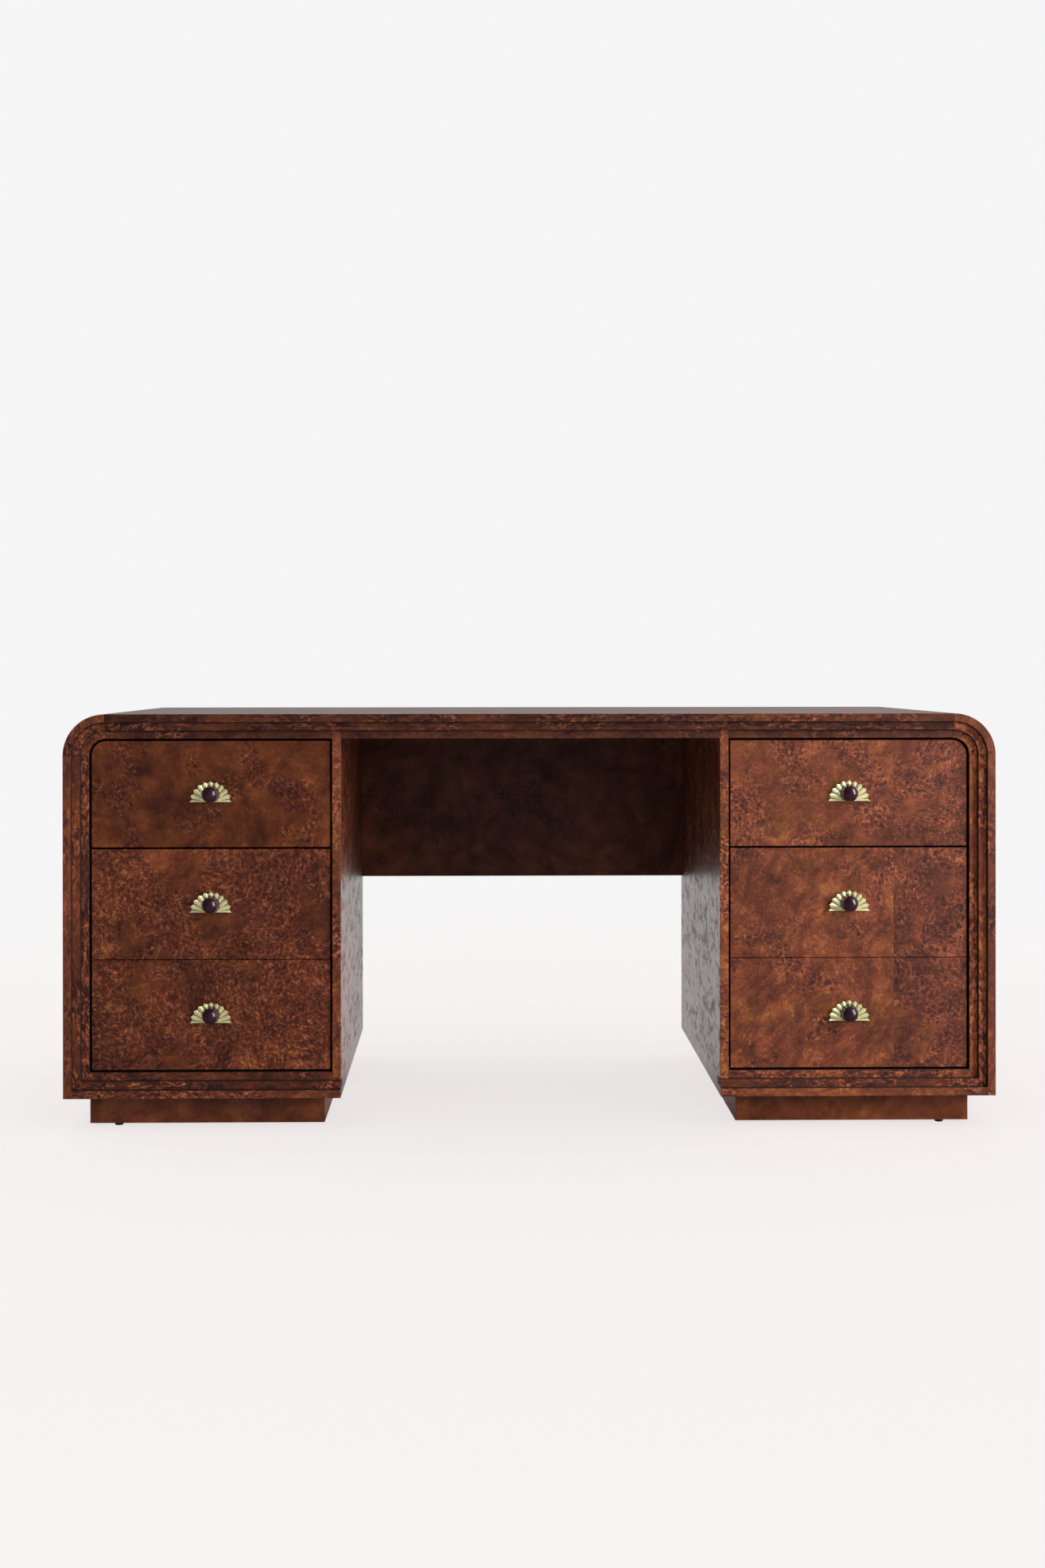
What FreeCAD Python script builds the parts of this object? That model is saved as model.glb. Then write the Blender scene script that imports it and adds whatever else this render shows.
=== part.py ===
import FreeCAD, Part
import os
from math import acos, cos, pi, sin, sqrt

from FreeCAD import Vector

# An executive desk with two pedestals under one waterfall top.
# Three nested bands frame the front, each set back behind the one outside it,
# and the two inner bands are mouldings planted in a rebate of the thick case.
# Each pedestal holds a top drawer and a deep file drawer on ball-bearing
# slides. The file drawer's front has a groove that makes it look like two.
# The front faces -Y, +Z is up, and the origin is on the floor at the middle.
# "Depth" is counted backwards from the front face of the outer band.

os.makedirs("parts", exist_ok=True)

# Overall size, in millimetres
desk_width = 1710.0
desk_height = 762.0
case_depth = 762.0

# Bands round the front
band_width = 15.25
band_step = 8.0
corner_radius = 76.2
moulding_depth = 40.0
arris = 1.0

# Pedestals, kneehole and back
opening_width = 444.5
kneehole_panel_thickness = 16.0
modesty_height = 321.5
modesty_thickness = 18.0
back_thickness = 18.0
back_inset = 3.0
back_corner_ease = 1.0

# Plinths and glides
plinth_height = 54.5
plinth_front_recess = 52.0
plinth_back_recess = 52.0
plinth_outer_recess = 40.6
plinth_inner_recess = 32.5
plinth_board = 18.0
corner_block_leg = 45.0
corner_block_height = 40.0
glide_height = 4.5
glide_radius = 8.5
glide_tip_radius = 7.2
glide_end_distance = 52.0
glide_inner_distance = 170.0

# Drawer fronts
reveal = 3.5
front_recess = 4.0
front_thickness = 19.0
front_arris = 0.8
top_front_height = 195.5
groove_width = 2.2
groove_depth = 2.0

# Drawer boxes
box_board = 13.0
box_lift = 14.0
top_box_drop = 31.5
file_box_drop = 85.0
box_bottom_thickness = 6.0
box_bottom_rise = 10.0
box_groove_depth = 6.0
tail_pitch = 30.0
tail_width = 19.0
tail_slope_share = 0.125
divider_thickness = 18.0
divider_depth = 60.0
divider_clearance = 1.0

# Hanging-file rails
rail_metal = 1.5
rail_clip_drop = 10.0
rail_lip = 12.0

# Ball-bearing slides
slide_setback = 3.0
slide_rear_space = 89.0
slide_thickness = 12.7
slide_height = 45.7
slide_metal = 1.3
slide_play = 0.5
slide_rise = 50.0
ball_diameter = 4.2
cage_width = 2.4
cage_clearance = 0.3
outer_cage_shares = (0.52, 0.97)
inner_cage_shares = (0.03, 0.48)

# Fan pulls
fan_radius = 38.5
fan_pleats = 10
fan_metal = 1.6
fan_ridge_rise = 6.4
fan_valley_share = 0.925
spigot_width = 8.0
spigot_clearance = 0.1
knob_radius = 14.75
knob_stand = 18.2
knob_neck = 4.6
knob_neck_entry = 1.0
knob_chords = 9
knob_flats = 24
knob_above_fan_foot = 14.7

# One overrun for every cut that has to pass right through
overrun = 5.0

# Levels and planes that the pieces share
half_width = desk_width / 2
back_depth = case_depth - back_inset - back_thickness
case_thickness = 3 * band_width
case_floor = glide_height + plinth_height
inner_band_depth = 2 * band_step
rebate_depth = inner_band_depth + moulding_depth
bend_x = half_width - corner_radius
bend_z = desk_height - corner_radius
outer_wall_x = half_width - case_thickness
inner_wall_x = outer_wall_x - opening_width
kneehole_x = inner_wall_x - kneehole_panel_thickness
opening_floor = case_floor + case_thickness
opening_top = desk_height - case_thickness
opening_corner = corner_radius - case_thickness
front_depth = inner_band_depth + front_recess
front_back_depth = front_depth + front_thickness
slide_start = front_back_depth + slide_setback
slide_length = back_depth - slide_rear_space - slide_start
knob_reach = max(knob_stand + knob_radius - front_depth, 0)
front_y = (knob_reach - case_depth) / 2

# Drawer levels, from the top down
top_front_z = opening_top - reveal - top_front_height
file_front_z = opening_floor + reveal
file_front_height = top_front_z - reveal - file_front_z
groove_z = file_front_z + file_front_height / 2
divider_z = top_front_z - reveal / 2

SIDES = {"left": -1, "right": 1}


def save(name, *solids):
    """Write one sub-part, as one solid or as a group of separate ones."""
    for solid in solids:
        if not solid.isValid() or solid.Volume <= 0:
            raise ValueError("bad solid in " + name)
    shape = solids[0] if len(solids) == 1 else Part.makeCompound(list(solids))
    shape.exportStep("parts/" + name + ".step")


def upright(solid):
    """Turn a solid's faces outwards where an extrusion left them inwards."""
    solid = solid if solid.ShapeType == "Solid" else solid.Solids[0]
    if solid.Volume < 0:
        solid.reverse()
    return solid


def block(x_range, depth_range, z_range):
    """A board, from its limits across, in depth and in height."""
    x_low, x_high = sorted(x_range)
    d_low, d_high = depth_range
    z_low, z_high = z_range
    corner = Vector(x_low, front_y + d_low, z_low)
    return Part.makeBox(x_high - x_low, d_high - d_low, z_high - z_low, corner)


def prism(points, direction):
    """A straight run of one flat outline."""
    face = Part.Face(Part.makePolygon(points + points[:1]))
    return upright(face.extrude(direction))


def facet(*points):
    return Part.Face(Part.makePolygon(list(points) + [points[0]]))


def closed(faces):
    """One solid inside the flat faces that enclose it."""
    shell = Part.makeShell(faces)
    shell.sewShape()
    return upright(Part.makeSolid(shell))


# Sections of the case, as (depth, inset) pairs, where the inset is counted
# inwards from the desk's outer surface. One section serves the straight runs
# and is turned through a quarter circle for the bends.
def board_section():
    return [
        (arris, 0),
        (0, arris),
        (0, band_width - arris),
        (arris, band_width),
        (rebate_depth, band_width),
        (rebate_depth, case_thickness),
        (case_depth - arris, case_thickness),
        (case_depth, case_thickness - arris),
        (case_depth, arris),
        (case_depth - arris, 0),
    ]


def moulding_section(step):
    """The middle moulding is step 1 and the inner moulding is step 2."""
    face_depth = step * band_step
    outer = step * band_width
    inner = outer + band_width
    return [
        (face_depth, outer),
        (face_depth, inner - arris),
        (face_depth + arris, inner),
        (rebate_depth, inner),
        (rebate_depth, outer),
    ]


def top_run(section, x_start, x_end):
    points = [Vector(x_start, front_y + d, desk_height - inset) for d, inset in section]
    return prism(points, Vector(x_end - x_start, 0, 0))


def corner_cut(side, third):
    """What a mitre takes off at a pedestal's bottom outer corner."""
    outer = side * (half_width + overrun)
    inner = side * (outer_wall_x - overrun)
    low = case_floor - overrun
    high = opening_floor + overrun
    corners = [(outer, low), (inner, high), (inner, low) if third == "below" else (outer, high)]
    points = [Vector(x, front_y - overrun, z) for x, z in corners]
    return prism(points, Vector(0, case_depth + 2 * overrun, 0))


def side_run(section, side):
    points = [
        Vector(side * (half_width - inset), front_y + d, case_floor)
        for d, inset in section
    ]
    run = prism(points, Vector(0, 0, bend_z - case_floor))
    return upright(run.cut(corner_cut(side, "below")))


def base_run(section, side, x_inner):
    points = [Vector(side * x_inner, front_y + d, case_floor + inset) for d, inset in section]
    run = prism(points, Vector(side * (half_width - x_inner), 0, 0))
    return upright(run.cut(corner_cut(side, "above")))


def bend_run(section, side):
    points = [Vector(side * (half_width - inset), front_y + d, bend_z) for d, inset in section]
    face = Part.Face(Part.makePolygon(points + points[:1]))
    turned = face.revolve(Vector(side * bend_x, 0, bend_z), Vector(0, 1, 0), -90 * side)
    return upright(turned)


def rounded_panel(side, x_range, z_range, radius, depth, thickness):
    """An upright panel whose top outer corner is round."""
    x_inner, x_outer = x_range
    z_low, z_high = z_range
    y = front_y + depth

    def point(x, z):
        return Vector(side * x, y, z)

    middle = radius * sqrt(0.5)
    arc = Part.Arc(
        point(x_outer, z_high - radius),
        point(x_outer - radius + middle, z_high - radius + middle),
        point(x_outer - radius, z_high),
    )
    corners = [
        point(x_outer - radius, z_high),
        point(x_inner, z_high),
        point(x_inner, z_low),
        point(x_outer, z_low),
        point(x_outer, z_high - radius),
    ]
    edges = [Part.LineSegment(a, b).toShape() for a, b in zip(corners, corners[1:])]
    face = Part.Face(Part.Wire(edges + [arc.toShape()]))
    return upright(face.extrude(Vector(0, thickness, 0)))


def ease_front(solid, size):
    """Break the sharp edges round a panel's front face."""
    front = min(vertex.Y for vertex in solid.Vertexes)
    edges = [
        edge
        for edge in solid.Edges
        if all(abs(vertex.Y - front) < size / 2 for vertex in edge.Vertexes)
    ]
    return upright(solid.makeChamfer(size, edges))


# The desktop is one thick board between the two bends. Its underside is
# housed out for the kneehole panels.
def desktop_panel():
    board = top_run(board_section(), -bend_x, bend_x)
    for side in SIDES.values():
        housing = block(
            (side * kneehole_x, side * inner_wall_x),
            (inner_band_depth, case_depth + overrun),
            (opening_top - overrun, opening_top + band_width),
        )
        board = board.cut(housing)
    return upright(board)


# A base board is as thick as the side and mitred to it. It loses its top
# layer where the kneehole panel stands on it.
def base_panel(side):
    board = base_run(board_section(), side, kneehole_x)
    housing = block(
        (side * (kneehole_x - overrun), side * inner_wall_x),
        (inner_band_depth, case_depth + overrun),
        (opening_floor - band_width, opening_floor + overrun),
    )
    return upright(board.cut(housing))


# The kneehole panel's front edge is the upright between drawers and kneehole,
# flush with the inner band. It stands in the housings above and below.
def kneehole_panel(side):
    panel = block(
        (side * kneehole_x, side * inner_wall_x),
        (inner_band_depth, case_depth),
        (opening_floor - band_width, opening_top + band_width),
    )
    front = front_y + inner_band_depth
    edges = [
        edge
        for edge in panel.Edges
        if all(abs(vertex.Y - front) < arris / 2 for vertex in edge.Vertexes)
        and abs(edge.Vertexes[0].Z - edge.Vertexes[1].Z) > case_thickness
    ]
    return upright(panel.makeChamfer(arris, edges))


def write_case():
    board = board_section()
    middle = moulding_section(1)
    inner = moulding_section(2)
    save("desktop_panel", desktop_panel())
    save("top_middle_moulding", top_run(middle, -bend_x, bend_x))
    save(
        "top_inner_moulding",
        top_run(inner, -bend_x, -inner_wall_x),
        top_run(inner, -kneehole_x, kneehole_x),
        top_run(inner, inner_wall_x, bend_x),
    )
    for word, side in SIDES.items():
        save(word + "_corner_bend", bend_run(board, side))
        save(word + "_side_panel", side_run(board, side))
        save(word + "_base_panel", base_panel(side))
        save(word + "_kneehole_panel", kneehole_panel(side))
        save(
            word + "_middle_moulding",
            bend_run(middle, side),
            side_run(middle, side),
            base_run(middle, side, kneehole_x),
        )
        save(
            word + "_inner_moulding",
            bend_run(inner, side),
            side_run(inner, side),
            base_run(inner, side, inner_wall_x),
        )


# The backs stand inside the case, a little in from its back edges, and the
# modesty panel closes the top of the kneehole in line with them.
def write_backs():
    for word, side in SIDES.items():
        panel = rounded_panel(
            side,
            (inner_wall_x, outer_wall_x),
            (opening_floor, opening_top),
            opening_corner + back_corner_ease,
            back_depth,
            back_thickness,
        )
        save(word + "_back_panel", panel)
    modesty_depth = case_depth - back_inset - modesty_thickness
    modesty = block(
        (-kneehole_x, kneehole_x),
        (modesty_depth, modesty_depth + modesty_thickness),
        (opening_top - modesty_height, opening_top),
    )
    save("modesty_panel", modesty)


# A plinth is a frame of four boards mitred at the corners, with a glue block
# inside each corner. Its limits are set in from the pedestal above it.
plinth_outer_x = half_width - plinth_outer_recess
plinth_inner_x = kneehole_x + plinth_inner_recess
plinth_front = plinth_front_recess
plinth_back = case_depth - plinth_back_recess


def plinth(side):
    outside = [
        (plinth_outer_x, plinth_front),
        (plinth_outer_x, plinth_back),
        (plinth_inner_x, plinth_back),
        (plinth_inner_x, plinth_front),
    ]
    inside = [
        (plinth_outer_x - plinth_board, plinth_front + plinth_board),
        (plinth_outer_x - plinth_board, plinth_back - plinth_board),
        (plinth_inner_x + plinth_board, plinth_back - plinth_board),
        (plinth_inner_x + plinth_board, plinth_front + plinth_board),
    ]
    toward = [(-1, 1), (-1, -1), (1, -1), (1, 1)]

    def level(points, z):
        return [Vector(side * x, front_y + d, z) for x, d in points]

    pieces = []
    for k in range(4):
        after = (k + 1) % 4
        outline = [outside[k], outside[after], inside[after], inside[k]]
        pieces.append(prism(level(outline, glide_height), Vector(0, 0, plinth_height)))
    for (x, d), (x_way, d_way) in zip(inside, toward):
        outline = [
            (x, d),
            (x + x_way * corner_block_leg, d),
            (x, d + d_way * corner_block_leg),
        ]
        bottom = case_floor - corner_block_height
        pieces.append(prism(level(outline, bottom), Vector(0, 0, corner_block_height)))
    return pieces


def glide(side, x, depth):
    foot = Vector(side * x, front_y + depth, 0)
    return Part.makeCone(glide_tip_radius, glide_radius, glide_height, foot)


def glides(side):
    half_board = plinth_board / 2
    outer_x = plinth_outer_x - glide_end_distance
    inner_x = plinth_inner_x + half_board
    return [
        glide(side, outer_x, plinth_front + half_board),
        glide(side, outer_x, plinth_back - half_board),
        glide(side, inner_x, plinth_front + glide_inner_distance),
        glide(side, inner_x, plinth_back - glide_inner_distance),
    ]


# The divider is a rail behind the gap between the two drawer fronts.
def divider_rail(side):
    start = front_back_depth + divider_clearance
    return block(
        (side * inner_wall_x, side * outer_wall_x),
        (start, start + divider_depth),
        (divider_z - divider_thickness / 2, divider_z + divider_thickness / 2),
    )


# Each slide has three steel members, one inside the other, with balls in
# cages between their flanges. A channel is drawn across (reach from the wall)
# and up (height from the slide's middle).
def channel(wall_x, way, z, web, tip, half_height, shares=(0, 1)):
    metal = slide_metal if tip > web else -slide_metal
    outline = [
        (web, -half_height),
        (tip, -half_height),
        (tip, slide_metal - half_height),
        (web + metal, slide_metal - half_height),
        (web + metal, half_height - slide_metal),
        (tip, half_height - slide_metal),
        (tip, half_height),
        (web, half_height),
    ]
    start = front_y + slide_start + shares[0] * slide_length
    points = [Vector(wall_x + way * reach, start, z + up) for reach, up in outline]
    return prism(points, Vector(0, (shares[1] - shares[0]) * slide_length, 0))


case_half_height = slide_height / 2
runner_half_height = case_half_height - slide_metal - ball_diameter
drawer_half_height = runner_half_height - slide_metal - ball_diameter
runner_web = slide_metal + slide_play
flange_stop = slide_thickness - slide_metal - slide_play


def case_member(wall_x, way, z):
    return channel(wall_x, way, z, 0, flange_stop, case_half_height)


def drawer_member(wall_x, way, z):
    tip = runner_web + slide_metal + slide_play
    return channel(wall_x, way, z, slide_thickness, tip, drawer_half_height)


def ball_cage(wall_x, way, z, half_height, shares):
    """A cage fills the race beside a flange, but for its clearance."""
    middle = slide_thickness / 2
    start = slide_start + shares[0] * slide_length
    length = (shares[1] - shares[0]) * slide_length
    low, high = sorted((
        z + half_height + cage_clearance * (1 if half_height > 0 else -1),
        z + half_height + (ball_diameter - cage_clearance) * (1 if half_height > 0 else -1),
    ))
    near = wall_x + way * (middle - cage_width / 2)
    far = wall_x + way * (middle + cage_width / 2)
    return block((near, far), (start, start + length), (low, high))


def runner(wall_x, way, z):
    pieces = [channel(wall_x, way, z, runner_web, flange_stop, runner_half_height)]
    for sign in (-1, 1):
        outer = sign * runner_half_height
        inner = sign * drawer_half_height
        pieces.append(ball_cage(wall_x, way, z, outer, outer_cage_shares))
        pieces.append(ball_cage(wall_x, way, z, inner, inner_cage_shares))
    return pieces


def walls(side):
    """The two faces that slides are screwed to, and the way off each."""
    return [(side * inner_wall_x, side), (side * outer_wall_x, -side)]


# A pull is a pleated brass fan with a round knob over its foot. Ridges and
# valleys run from one apex, so that each half pleat is a flat triangle.
def fan(x, foot_z):
    face_y = front_y + front_depth
    half_pleat = pi / fan_pleats / 2

    def spot(step, proud):
        ridge = step % 2 == 0
        radius = fan_radius if ridge else fan_radius * fan_valley_share
        rise = fan_ridge_rise if ridge else fan_metal
        angle = step * half_pleat
        y = face_y - rise + (0 if proud else fan_metal)
        return Vector(x + radius * cos(angle), y, foot_z + radius * sin(angle))

    apex = {True: Vector(x, face_y - fan_metal, foot_z), False: Vector(x, face_y, foot_z)}
    last = 2 * fan_pleats
    faces = []
    for step in range(last):
        for proud in (True, False):
            faces.append(facet(apex[proud], spot(step, proud), spot(step + 1, proud)))
        rim = (spot(step, True), spot(step + 1, True), spot(step + 1, False), spot(step, False))
        faces.append(facet(*rim))
    foot = (spot(0, True), apex[True], spot(last, True))
    foot += (spot(last, False), apex[False], spot(0, False))
    faces.append(facet(*foot))
    plate = closed(faces)
    hole_depths = (front_depth - fan_ridge_rise - overrun, front_depth + overrun)
    return upright(plate.cut(spigot(x, foot_z, hole_depths, spigot_clearance)))


def spigot(x, foot_z, depth_range, clearance):
    """The square neck that keeps a knob and its fan from turning."""
    half = spigot_width / 2 + clearance
    z = foot_z + knob_above_fan_foot
    return block((x - half, x + half), depth_range, (z - half, z + half))


def knob(x, foot_z):
    """A ball of small flats, cut off where it seats, on a square spigot."""
    face_y = front_y + front_depth
    z = foot_z + knob_above_fan_foot
    back_angle = acos((knob_stand - knob_neck) / knob_radius)

    def spot(step, turn):
        if step == knob_chords:
            return Vector(x, face_y - knob_stand - knob_radius, z)
        angle = back_angle + (pi - back_angle) * step / knob_chords
        way = 2 * pi * turn / knob_flats
        reach = knob_radius * sin(angle)
        y = face_y - knob_stand + knob_radius * cos(angle)
        return Vector(x + reach * cos(way), y, z + reach * sin(way))

    faces = [facet(*[spot(0, turn) for turn in range(knob_flats)])]
    for turn in range(knob_flats):
        for step in range(knob_chords - 1):
            near = (spot(step, turn), spot(step, turn + 1))
            far = (spot(step + 1, turn + 1), spot(step + 1, turn))
            faces.append(facet(*near, *far))
        last = knob_chords - 1
        faces.append(facet(spot(last, turn), spot(last, turn + 1), spot(knob_chords, turn)))
    neck_tip = front_depth - knob_neck - knob_neck_entry
    neck = spigot(x, foot_z, (neck_tip, front_depth), 0)
    return upright(closed(faces).fuse(neck).removeSplitter())


# A drawer is a front screwed to a box of two sides, two ends and a bottom
# that slides in grooves.
def drawer_front(side, z_range, radius, grooved):
    x_range = (inner_wall_x + reveal, outer_wall_x - reveal)
    if radius > 0:
        front = rounded_panel(side, x_range, z_range, radius, front_depth, front_thickness)
    else:
        sides = [side * x for x in x_range]
        front = block(sides, (front_depth, front_back_depth), z_range)
    front = ease_front(front, front_arris)
    if grooved:
        face_y = front_y + front_depth
        start = side * (x_range[0] - overrun)
        outline = [
            Vector(start, face_y - front_arris, groove_z - groove_width / 2),
            Vector(start, face_y, groove_z - groove_width / 2),
            Vector(start, face_y + groove_depth, groove_z),
            Vector(start, face_y, groove_z + groove_width / 2),
            Vector(start, face_y - front_arris, groove_z + groove_width / 2),
        ]
        length = x_range[1] - x_range[0] + 2 * overrun
        front = upright(front.cut(prism(outline, Vector(side * length, 0, 0))))
    return front


def tails(side, wall, shoulder, way, z_range):
    """The dovetails at one end of a box side, wider at their tips."""
    z_low, z_high = z_range
    count = int((z_high - z_low) / tail_pitch)
    spread = tail_slope_share * box_board
    tip = shoulder + way * box_board
    pieces = []
    for k in range(count):
        middle = z_low + (z_high - z_low) * (k + 0.5) / count
        root_half = tail_width / 2 - spread
        outline = [
            Vector(side * wall, front_y + shoulder, middle - root_half),
            Vector(side * wall, front_y + tip, middle - tail_width / 2),
            Vector(side * wall, front_y + tip, middle + tail_width / 2),
            Vector(side * wall, front_y + shoulder, middle + root_half),
        ]
        pieces.append(prism(outline, Vector(side * box_board, 0, 0)))
    return pieces


def drawer_box(side, z_range):
    """Two sides, two ends dovetailed to them and the bottom that they hold."""
    near = inner_wall_x + slide_thickness
    far = outer_wall_x - slide_thickness
    start = front_back_depth
    end = slide_start + slide_length
    z_low = z_range[0]
    held = box_board - box_groove_depth
    bottom = block(
        (side * (near + held), side * (far - held)),
        (start + held, end - held),
        (z_low + box_bottom_rise, z_low + box_bottom_rise + box_bottom_thickness),
    )
    across = (side * near, side * far)
    ends = [
        block(across, (start, start + box_board), z_range),
        block(across, (end - box_board, end), z_range),
    ]
    sides = []
    for wall in (near, far - box_board):
        board = block(
            (side * wall, side * (wall + box_board)),
            (start + box_board, end - box_board),
            z_range,
        )
        front_tails = tails(side, wall, start + box_board, -1, z_range)
        back_tails = tails(side, wall, end - box_board, 1, z_range)
        ends = [ends[0].cut(front_tails), ends[1].cut(back_tails)]
        sides.append(board.fuse(front_tails + back_tails).removeSplitter())
    sides = [upright(piece.cut(bottom)) for piece in sides]
    ends = [upright(piece.cut(bottom)) for piece in ends]
    return sides, ends, bottom


def file_rail(side, board_x, way, z_top):
    """A steel clip over the top of one box side, with a lip for the hooks."""
    start = front_y + front_back_depth + box_board
    length = slide_setback + slide_length - 2 * box_board
    half = box_board / 2
    outer = half + rail_metal
    outline = [
        (-outer, -rail_clip_drop),
        (-half, -rail_clip_drop),
        (-half, 0),
        (half, 0),
        (half, -rail_clip_drop),
        (outer, -rail_clip_drop),
        (outer, rail_lip),
        (half, rail_lip),
        (half, rail_metal),
        (-outer, rail_metal),
    ]
    centre = side * board_x
    points = [Vector(centre + side * way * reach, start, z_top + up) for reach, up in outline]
    return prism(points, Vector(0, length, 0))


def write_drawer(name, side, front_z, front_height, box_drop, is_file):
    z_range = (front_z, front_z + front_height)
    radius = 0 if is_file else opening_corner - reveal
    save(name + "_front", drawer_front(side, z_range, radius, is_file))

    box_range = (front_z + box_lift, front_z + front_height - box_drop)
    sides, ends, bottom = drawer_box(side, box_range)
    save(name + "_box_sides", *sides)
    save(name + "_box_ends", *ends)
    save(name + "_box_bottom", bottom)

    slide_z = box_range[0] + slide_rise
    pieces = [runner(wall_x, way, slide_z) for wall_x, way in walls(side)]
    save(name + "_runners", *[piece for pair in pieces for piece in pair])
    save(name + "_slides", *[drawer_member(x, way, slide_z) for x, way in walls(side)])

    if is_file:
        half = front_height / 2
        centres = [front_z + half / 2, front_z + half + half / 2]
        near = inner_wall_x + slide_thickness + box_board / 2
        far = outer_wall_x - slide_thickness - box_board / 2
        rails = [file_rail(side, near, 1, box_range[1]), file_rail(side, far, -1, box_range[1])]
        save(name + "_file_rails", *rails)
    else:
        centres = [front_z + front_height / 2]
    x = side * (inner_wall_x + outer_wall_x) / 2
    feet = [centre - knob_above_fan_foot for centre in centres]
    save(name + "_fans", *[fan(x, foot) for foot in feet])
    save(name + "_knobs", *[knob(x, foot) for foot in feet])
    return slide_z


def write_pedestals():
    for word, side in SIDES.items():
        save(word + "_plinth", *plinth(side))
        save(word + "_divider_rail", divider_rail(side))
        levels = [
            write_drawer(
                word + "_top_drawer", side, top_front_z, top_front_height, top_box_drop, False
            ),
            write_drawer(
                word + "_file_drawer", side, file_front_z, file_front_height, file_box_drop, True
            ),
        ]
        members = [case_member(x, way, z) for z in levels for x, way in walls(side)]
        save(word + "_case_slides", *members)
    save("floor_glides", *[piece for side in SIDES.values() for piece in glides(side)])


write_case()
write_backs()
write_pedestals()
print("sub-parts:", len([name for name in os.listdir("parts") if name.endswith(".step")]))
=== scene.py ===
# %% [markdown]
# A burl desk, dressed for the studio.
#
# The desk is a case of thick veneered boards with two pedestals. The measured
# model comes in as a fixed frame: every board, drawer and slide is already at
# its real size and place, in metres, with the front towards -Y and the floor
# at Z = 0. This file adds what a measured model doesn't hold, which is the
# finish of each surface, the pleated brass fans, the turned knobs and glides,
# the balls and screws of the slides, the light and the camera.

# %% Load the frame
from math import cos, pi, radians, sin

import bmesh
import bpy
from mathutils import Matrix, Vector


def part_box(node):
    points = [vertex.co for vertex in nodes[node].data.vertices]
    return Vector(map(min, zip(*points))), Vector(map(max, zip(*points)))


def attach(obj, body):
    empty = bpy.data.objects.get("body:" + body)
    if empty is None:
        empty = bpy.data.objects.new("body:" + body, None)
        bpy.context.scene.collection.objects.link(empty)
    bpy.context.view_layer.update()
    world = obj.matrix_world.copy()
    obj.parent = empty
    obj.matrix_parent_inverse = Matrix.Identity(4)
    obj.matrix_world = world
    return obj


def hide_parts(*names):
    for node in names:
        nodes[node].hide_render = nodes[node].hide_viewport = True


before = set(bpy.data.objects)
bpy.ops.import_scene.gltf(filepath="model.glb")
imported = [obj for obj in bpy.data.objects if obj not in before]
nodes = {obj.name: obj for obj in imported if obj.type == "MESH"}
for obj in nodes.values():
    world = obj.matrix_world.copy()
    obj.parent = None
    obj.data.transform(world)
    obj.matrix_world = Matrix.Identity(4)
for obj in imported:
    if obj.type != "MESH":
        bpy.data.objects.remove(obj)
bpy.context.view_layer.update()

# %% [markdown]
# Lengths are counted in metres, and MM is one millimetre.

MM = 0.001

# %% [markdown]
# The photograph was taken from about four metres away, a little above the
# desktop and slightly left of the middle. The lens stays all but level and is
# shifted down instead of tilted, which is how a view camera keeps upright
# edges upright.

# %% The camera
eye = Vector((-0.0967, -4.2852, 0.8379))
turn_right = radians(0.947)
tilt_down = radians(0.133)
roll = radians(-0.05)
picture_height = 1972
picture_middle = (657, 986)
lens_middle = (645.3, 851.9)
lens_in_pixels = 2685.9

lens = bpy.data.cameras.new("studio_camera")
lens.sensor_width = 36
lens.lens = lens_in_pixels / picture_height * lens.sensor_width
lens.shift_x = (picture_middle[0] - lens_middle[0]) / picture_height
lens.shift_y = (lens_middle[1] - picture_middle[1]) / picture_height
camera = bpy.data.objects.new("studio_camera", lens)
bpy.context.scene.collection.objects.link(camera)
aim = Matrix.Rotation(-turn_right, 4, "Z") @ Matrix.Rotation(pi / 2 - tilt_down, 4, "X")
camera.matrix_world = Matrix.Translation(eye) @ aim @ Matrix.Rotation(roll, 4, "Z")
bpy.context.scene.camera = camera
print("focal length:", round(lens.lens, 1), "mm")

# %% [markdown]
# Finishes and repeated shapes are both wired as node trees, so one small
# helper serves both. An input takes a number or another node's output.

# %% A helper that wires node trees
def srgb(red, green, blue):
    """A colour as a screen shows it, 0 to 255, turned into linear light."""
    def linear(value):
        share = value / 255
        return share / 12.92 if share < 0.04045 else ((share + 0.055) / 1.055) ** 2.4
    return (linear(red), linear(green), linear(blue), 1)


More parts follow.
